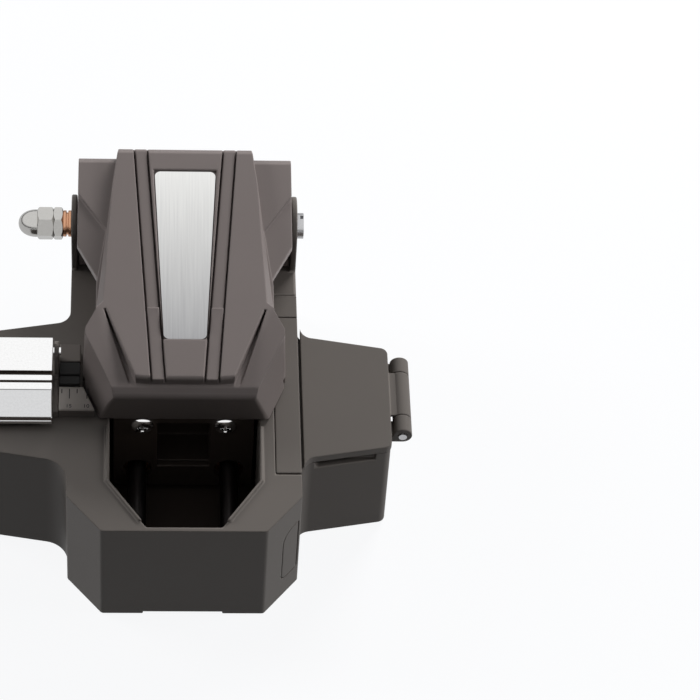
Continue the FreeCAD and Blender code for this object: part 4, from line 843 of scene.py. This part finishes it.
jam_low, jam_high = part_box("jam_nut")
jam_corner = (jam_high.y - jam_low.y)/2/MM
jam_flat = (jam_high.z - jam_low.z)/2/MM
jam_long = (jam_high.x - jam_low.x)/MM
slope = (jam_corner - jam_flat)*CHAMFER_SLOPE
end, wall = jam_flat - BLANK_SPARE, jam_corner + BLANK_SPARE
jam_blank = turned("jam_nut_blank", [(0, 0), (end, 0), (wall, slope), (wall, jam_long - slope),
                                     (end, jam_long), (0, jam_long)], "-x")
moved(jam_blank, (jam_high.x, (jam_low.y + jam_high.y)/2, (jam_low.z + jam_high.z)/2))
jam_nut = new_piece("jam_nut_chamfered", mesh_of(merged("jam_nut"), "jam_nut_chamfered"))
plated(common(jam_nut, jam_blank), "jam_nut")

# %% Bush
GROOVE_HALF = 0.22
GROOVE_DEEP = 0.55
GROOVE_CHAMFER = 0.15
END_CHAMFER = 0.2
bush_points = solids_of("shaft_bush")[0]
bush_low, bush_high = bush_points.min(0), bush_points.max(0)
bush_middle = (bush_low + bush_high)/2
bush_round = (bush_high[1] - bush_low[1])/2/MM
bush_bore = np.hypot(*(bush_points[:, 1:] - bush_middle[1:]).T).min()/MM
bush_long = (bush_high[0] - bush_low[0])/MM
groove_start, groove_end = bush_long/2 - GROOVE_HALF, bush_long/2 + GROOVE_HALF
rings = [(bush_bore, 0), (bush_round - END_CHAMFER, 0), (bush_round, END_CHAMFER),
         (bush_round, groove_start - GROOVE_CHAMFER), (bush_round - GROOVE_CHAMFER, groove_start),
         (bush_round - GROOVE_DEEP, groove_start), (bush_round - GROOVE_DEEP, groove_end),
         (bush_round - GROOVE_CHAMFER, groove_end), (bush_round, groove_end + GROOVE_CHAMFER),
         (bush_round, bush_long - END_CHAMFER), (bush_round - END_CHAMFER, bush_long),
         (bush_bore, bush_long)]
bush = turned("shaft_bush_turned", rings, "-x", ring=True)
moved(bush, (bush_high[0], bush_middle[1], bush_middle[2]))
carried(sharpened(one_finish(bush, BRONZE)), "base", "bronze", "shaft_bush")

# %% [markdown]
# ## Acorn nut
#
# Its hexagon is chamfered at both ends and runs through a short neck into a dome. So it is
# turned whole, and a hexagonal prism of the CAD nut's size then cuts its flats.

# %% Acorn nut
ACORN_CHAMFER = 0.5
END_INSET, DOME_INSET = 0.1, 0.25
NECK_LONG = 0.1
DOME_FULLNESS = 0.9
NEAR_CORNER = 4.5
acorn_low, acorn_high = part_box("acorn_nut")
acorn_middle = (acorn_low + acorn_high)/2
corner = (acorn_high.y - acorn_low.y)/2/MM
flat = (acorn_high.z - acorn_low.z)/2/MM
hex_end = min(x for x, y, _ in solids_of("acorn_nut")[0] if abs(y - acorn_middle.y) > NEAR_CORNER*MM)
hex_long = (acorn_high.x - hex_end)/MM
dome_long = (hex_end - acorn_low.x)/MM
dome_round = flat - DOME_INSET
dome_start = hex_long + ACORN_CHAMFER
dome = [(dome_round*math.cos(t)**DOME_FULLNESS, dome_start + (dome_long - ACORN_CHAMFER)*math.sin(t))
        for t in quarter(14)[:-1]]
profile = [(0, 0), (flat - END_INSET, 0), (corner, ACORN_CHAMFER), (corner, hex_long - ACORN_CHAMFER),
           (flat - END_INSET, hex_long), (dome_round, hex_long + NECK_LONG), *dome,
           (0, hex_long + dome_long)]
acorn_blank = moved(turned("acorn_blank", profile, "-x", steps=64),
                    (acorn_high.x, acorn_middle.y, acorn_middle.z))
prism = bmesh.new()
ends = []
for x in (acorn_low.x - MM, acorn_high.x + MM):
    ends.append([])
    for side in range(6):
        turn = math.radians(60*side)
        y = acorn_middle.y + corner*MM*math.cos(turn)
        z = acorn_middle.z + corner*MM*math.sin(turn)
        ends[-1].append(prism.verts.new((x, y, z)))
for side in range(6):
    after = (side + 1) % 6
    prism.faces.new((ends[0][side], ends[0][after], ends[1][after], ends[1][side]))
for end in ends:
    prism.faces.new(end)
bmesh.ops.recalc_face_normals(prism, faces=prism.faces)
acorn_nut = new_piece("acorn_nut_polished", mesh_of(prism, "acorn_nut_polished"))
plated(common(acorn_nut, acorn_blank), "acorn_nut")

# %% [markdown]
# ## Ruler
#
# The ruler beside the blade is marked in black, with the distance from the blade in
# millimetres. A tick is a sliver of ink, 0.02 mm thick, that lies on the plate. Digits are
# text, made a mesh before its place is written in.

# %% Ink on flat faces
INK_THICK = 0.02*MM
DIGIT_SHARE = 0.69


def sliver(name, wide, long):
    """A flat box of ink, centred on the origin and standing on Z = 0."""
    shape = bmesh.new()
    for corner in bmesh.ops.create_cube(shape, size=1.0)["verts"]:
        corner.co = Vector((corner.co.x*wide*MM, corner.co.y*long*MM, (corner.co.z + 0.5)*INK_THICK))
    return new_piece(name, mesh_of(shape, name))


def number(name, text, high, place, right, up):
    """A number in ink on a flat face: its middle, the way it reads and the way it stands."""
    curve = bpy.data.curves.new(name, "FONT")
    curve.body = text
    curve.size = high*MM/DIGIT_SHARE
    curve.extrude = INK_THICK/2
    curve.resolution_u = 3
    lettering = new_piece(name + "_text", curve)
    mesh = plain_mesh(lettering)
    bpy.data.objects.remove(lettering)
    points = np.array([point.co for point in mesh.vertices])
    centre = Vector((points.min(0) + points.max(0))/2)
    turn = Matrix((right, up, right.cross(up))).transposed()
    for point in mesh.vertices:
        point.co = place + turn @ (point.co - centre)
    mesh.materials.clear()
    return new_piece(name, mesh, INK)


def joined_as(name, pieces, body, slot):
    """Several finished pieces as one, on a body."""
    shape = bmesh.new()
    for piece in pieces:
        shape.from_mesh(piece.data)
    whole = one_finish(new_piece(name, mesh_of(shape, name)), pieces[0].data.materials[0])
    for piece in pieces:
        bpy.data.objects.remove(piece)
    return carried(whole, body, slot)


# %% Ruler marks
RIGHT, BACK = Vector((1, 0, 0)), Vector((0, 1, 0))
TICK_WIDE = 0.22
SHORT_TICK, LONG_TICK = 1.5, 3.3
DIGIT_HIGH = 1.15
# Along the ruler, in millimetres: the first long mark, and the other marks counted from it.
FIRST_MARK = -30.15
LONG_MARKS = (("15", 0.0), ("10", 4.6))
SHORT_MARKS = (-2, 2)
ruler_low, ruler_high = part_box("ruler_plate")
marks_back = ruler_high.y - 0.75*MM
digits_y = ruler_low.y + 1.25*MM


def along_ruler(offset):
    """The X of a mark, in metres."""
    return FIRST_MARK*MM + offset*MM


def ticks(name, long, offsets):
    """Ticks of one length, which start at one line near the ruler's back."""
    places = [Vector((along_ruler(offset), marks_back - long*MM/2, ruler_high.z)) for offset in offsets]
    return copies_of(sliver(name + "_one", TICK_WIDE, long), places, name, INK)


marks = [ticks("short_ticks", SHORT_TICK, SHORT_MARKS),
         ticks("long_ticks", LONG_TICK, [offset for _, offset in LONG_MARKS])]
for text, offset in LONG_MARKS:
    place = Vector((along_ruler(offset), digits_y, ruler_high.z + INK_THICK/2))
    marks.append(number("mark_" + text, text, DIGIT_HIGH, place, RIGHT, BACK))
joined_as("ruler_marks", marks, "base", "black_plastic")

# %% [markdown]
# ## Blade numbers
#
# The blade is a hard steel wheel with a conical cutting rim. A white ring on its right
# face carries the numbers of its cutting positions, odd ones, clockwise, with a dot
# between each two. A number of two digits takes more of the ring than one of one digit.

# %% Blade ring
# The ring lies in the wheel's recess, between these shares of the wheel's radius.
RECESS_INNER, RECESS_OUTER = 0.37, 0.74
RING_GAP = 0.02
WHITE_THICK = 0.03
wheel_low, wheel_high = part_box("blade_wheel")
wheel_middle = (wheel_low + wheel_high)/2
wheel_points = solids_of("blade_wheel")[0]
wheel_radius = (wheel_high.y - wheel_low.y)/2/MM
from_axis = np.hypot(wheel_points[:, 1] - wheel_middle.y, wheel_points[:, 2] - wheel_middle.z)/MM
in_recess = (from_axis > RECESS_INNER*wheel_radius) & (from_axis < RECESS_OUTER*wheel_radius)
on_right = in_recess & (wheel_points[:, 0] > 0)
ring_x = wheel_points[on_right, 0].min()
ring_radii = from_axis[on_right & (wheel_points[:, 0] < ring_x + 0.01*MM)]
inner, outer = ring_radii.min() + RING_GAP, ring_radii.max() - RING_GAP
white = turned("blade_number_ring", [(inner, 0), (outer, 0), (outer, WHITE_THICK), (inner, WHITE_THICK)],
               "+x", steps=96, ring=True)
moved(white, (ring_x, wheel_middle.y, wheel_middle.z))
carried(sharpened(one_finish(white, WHITE_RING)), "blade", "blade_steel")
print("ring from", round(inner, 2), "to", round(outer, 2), "mm")

# %% Blade numbers
ONE_DIGIT = math.radians(22.6)
TWO_DIGITS = (2*math.pi - 5*ONE_DIGIT)/7
FIRST_TURN = math.radians(-20.0)
FIGURE_HIGH = 1.25
DOT_ROUND = 0.17
number_radius = (inner + outer)/2*MM
ink_x = ring_x + WHITE_THICK*MM + INK_THICK/2


def on_ring(turn):
    """A point in the middle of the ring, clockwise from the top, and the way outwards there."""
    outwards = Vector((0, math.sin(turn), math.cos(turn)))
    return Vector((ink_x, wheel_middle.y, wheel_middle.z)) + outwards*number_radius, outwards


figures, dots = [], []
turn = FIRST_TURN - ONE_DIGIT/2
for value in range(1, 24, 2):
    share = ONE_DIGIT if value < 10 else TWO_DIGITS
    place, outwards = on_ring(turn + share/2)
    reads = outwards.cross(RIGHT)
    figures.append(number(f"figure_{value}", str(value), FIGURE_HIGH, place, reads, outwards))
    turn += share
    dots.append(on_ring(turn)[0] - Vector((INK_THICK/2, 0, 0)))
dot_thick = INK_THICK/MM
dot = turned("dot", [(0, 0), (DOT_ROUND, 0), (DOT_ROUND, dot_thick), (0, dot_thick)], "+x", steps=16)
figures.append(copies_of(dot, dots, "blade_dots", INK))
joined_as("blade_numbers", figures, "blade", "black_plastic")

# %% [markdown]
# ## The CAD nodes that stay
#
# Everything else keeps its CAD mesh and only gets its finish, which is ground steel unless
# the list below has another.

# %% Finishes
FINISHES = {
    "lower_clamp_pads": RUBBER, "upper_clamp_pads": RUBBER, "holder_pad": RUBBER,
    "blade_wheel": BLADE_STEEL, "slide_bushings": BRONZE, "idler_gear": BRONZE,
    "holder_pin": CHROME, "bottom_plate": DARK_PAINT_AND_SHADE, "clamp_arm": DARK_PAINT_AND_SHADE,
    "clamp_bridges": DARK_PAINT_AND_SHADE, "guide_rods": DARK_STEEL,
}
shown = [name for name, thing in nodes.items() if not thing.hide_render]
for name in shown:
    finish = FINISHES.get(name, STEEL)
    if not nodes[name].material_slots:
        nodes[name].data.materials.append(finish)
    for slot in nodes[name].material_slots:
        slot.material = finish
print("finished", len(shown), "CAD nodes")

# %% [markdown]
# ## Floor and light
#
# The tool stands on a white floor, with a soft light above and behind it on the right, so
# tops are bright and fronts fall into soft shade. A card on each side lifts the chamfers.
# The floor looks white to the camera and to mirrors, but gives little light back, or the
# shaded fronts would wash out.

# %% Floor
FLOOR_REACH = 6.0
FLOOR_BOUNCE = 0.11
FLOOR_MIRRORED = 0.70
FLOOR_SEEN = 0.92


def make_floor():
    """A wide floor that stays out of the part's own measures."""
    size = FLOOR_REACH
    mesh = bpy.data.meshes.new("floor")
    mesh.from_pydata([(-size, -size, 0), (size, -size, 0), (size, size, 0), (-size, size, 0)], [],
                     [(0, 1, 2, 3)])
    shades = Shades("floor")
    path = shades.nodes.new("ShaderNodeLightPath")
    seen = Wire(shades, path.outputs["Is Camera Ray"])
    mirrored = Wire(shades, path.outputs["Is Glossy Ray"])
    shades.put(shades.surface.inputs["Base Color"],
               shades.mix(seen, (FLOOR_BOUNCE,)*3, (0.94, 0.945, 0.95)))
    shades.put(shades.surface.inputs["Roughness"], 0.9)
    shades.put(shades.surface.inputs["Specular IOR Level"], 0.0)
    glow = shades.add("ShaderNodeEmission", {}, Color=(0.985, 0.99, 1, 1), Strength=1.0)
    share = (seen*FLOOR_SEEN + mirrored*FLOOR_MIRRORED).clamped()
    blend = shades.nodes.new("ShaderNodeMixShader")
    shades.put(blend.inputs[0], share)
    shades.links.new(shades.surface.outputs[0], blend.inputs[1])
    shades.links.new(glow.socket, blend.inputs[2])
    shades.links.new(blend.outputs[0], shades.nodes["Material Output"].inputs["Surface"])
    floor = new_piece("floor", mesh, shades.material)


make_floor()


# %% World
# Mirrored rays that climb less than the first share see the dark sky, and those that climb
# more than the second see the bright one.
DARK_BELOW, BRIGHT_ABOVE = 0.08, 0.26


def make_world(to_surfaces, mirrored_low, mirrored_high):
    """White to the camera and faint as light. In mirrors it brightens from the horizon up."""
    world = bpy.data.worlds.new("studio")
    bpy.context.scene.world = world
    world.use_nodes = True
    made = world.node_tree.nodes
    links = world.node_tree.links
    path = made.new("ShaderNodeLightPath")
    way = made.new("ShaderNodeTexCoord")
    split = made.new("ShaderNodeSeparateXYZ")
    rise = made.new("ShaderNodeMapRange")
    links.new(way.outputs["Generated"], split.inputs[0])
    links.new(split.outputs["Z"], rise.inputs["Value"])
    for name, value in (("From Min", DARK_BELOW), ("From Max", BRIGHT_ABOVE),
                        ("To Min", mirrored_low), ("To Max", mirrored_high)):
        rise.inputs[name].default_value = value
    blends = []
    for ray in ("Is Glossy Ray", "Is Camera Ray"):
        blend = made.new("ShaderNodeMix")
        blend.data_type = "FLOAT"
        links.new(path.outputs[ray], blend.inputs[0])
        blends.append(blend)
    in_mirrors, all_rays = blends
    in_mirrors.inputs[2].default_value = to_surfaces
    links.new(rise.outputs[0], in_mirrors.inputs[3])
    links.new(in_mirrors.outputs[0], all_rays.inputs[2])
    all_rays.inputs[3].default_value = 1.0
    links.new(all_rays.outputs[0], made["Background"].inputs["Strength"])
    made["Background"].inputs["Color"].default_value = (1, 1, 1, 1)


make_world(to_surfaces=0.065, mirrored_low=0.08, mirrored_high=1.0)


# %% Lamps
LIT_POINT = Vector((0, 0, 0.03))


def soft_box(name, place, size, watts):
    """An area lamp that points at the tool and can't be seen in its mirrors."""
    lamp = bpy.data.lights.new(name, "AREA")
    lamp.shape = "RECTANGLE"
    lamp.size, lamp.size_y = size
    lamp.energy = watts
    thing = bpy.data.objects.new(name, lamp)
    bpy.context.scene.collection.objects.link(thing)
    thing.location = place
    thing.rotation_euler = (LIT_POINT - Vector(place)).to_track_quat("-Z", "Y").to_euler()
    thing.visible_glossy = False


soft_box("key", (0.42, 0.80, 0.50), (0.4, 0.3), 10.5)
soft_box("left_card", (-0.80, 0.35, 0.46), (0.4, 0.4), 4.6)
soft_box("right_card", (0.85, -0.05, 0.42), (0.4, 0.4), 4.2)
print("floor, world and three lamps")
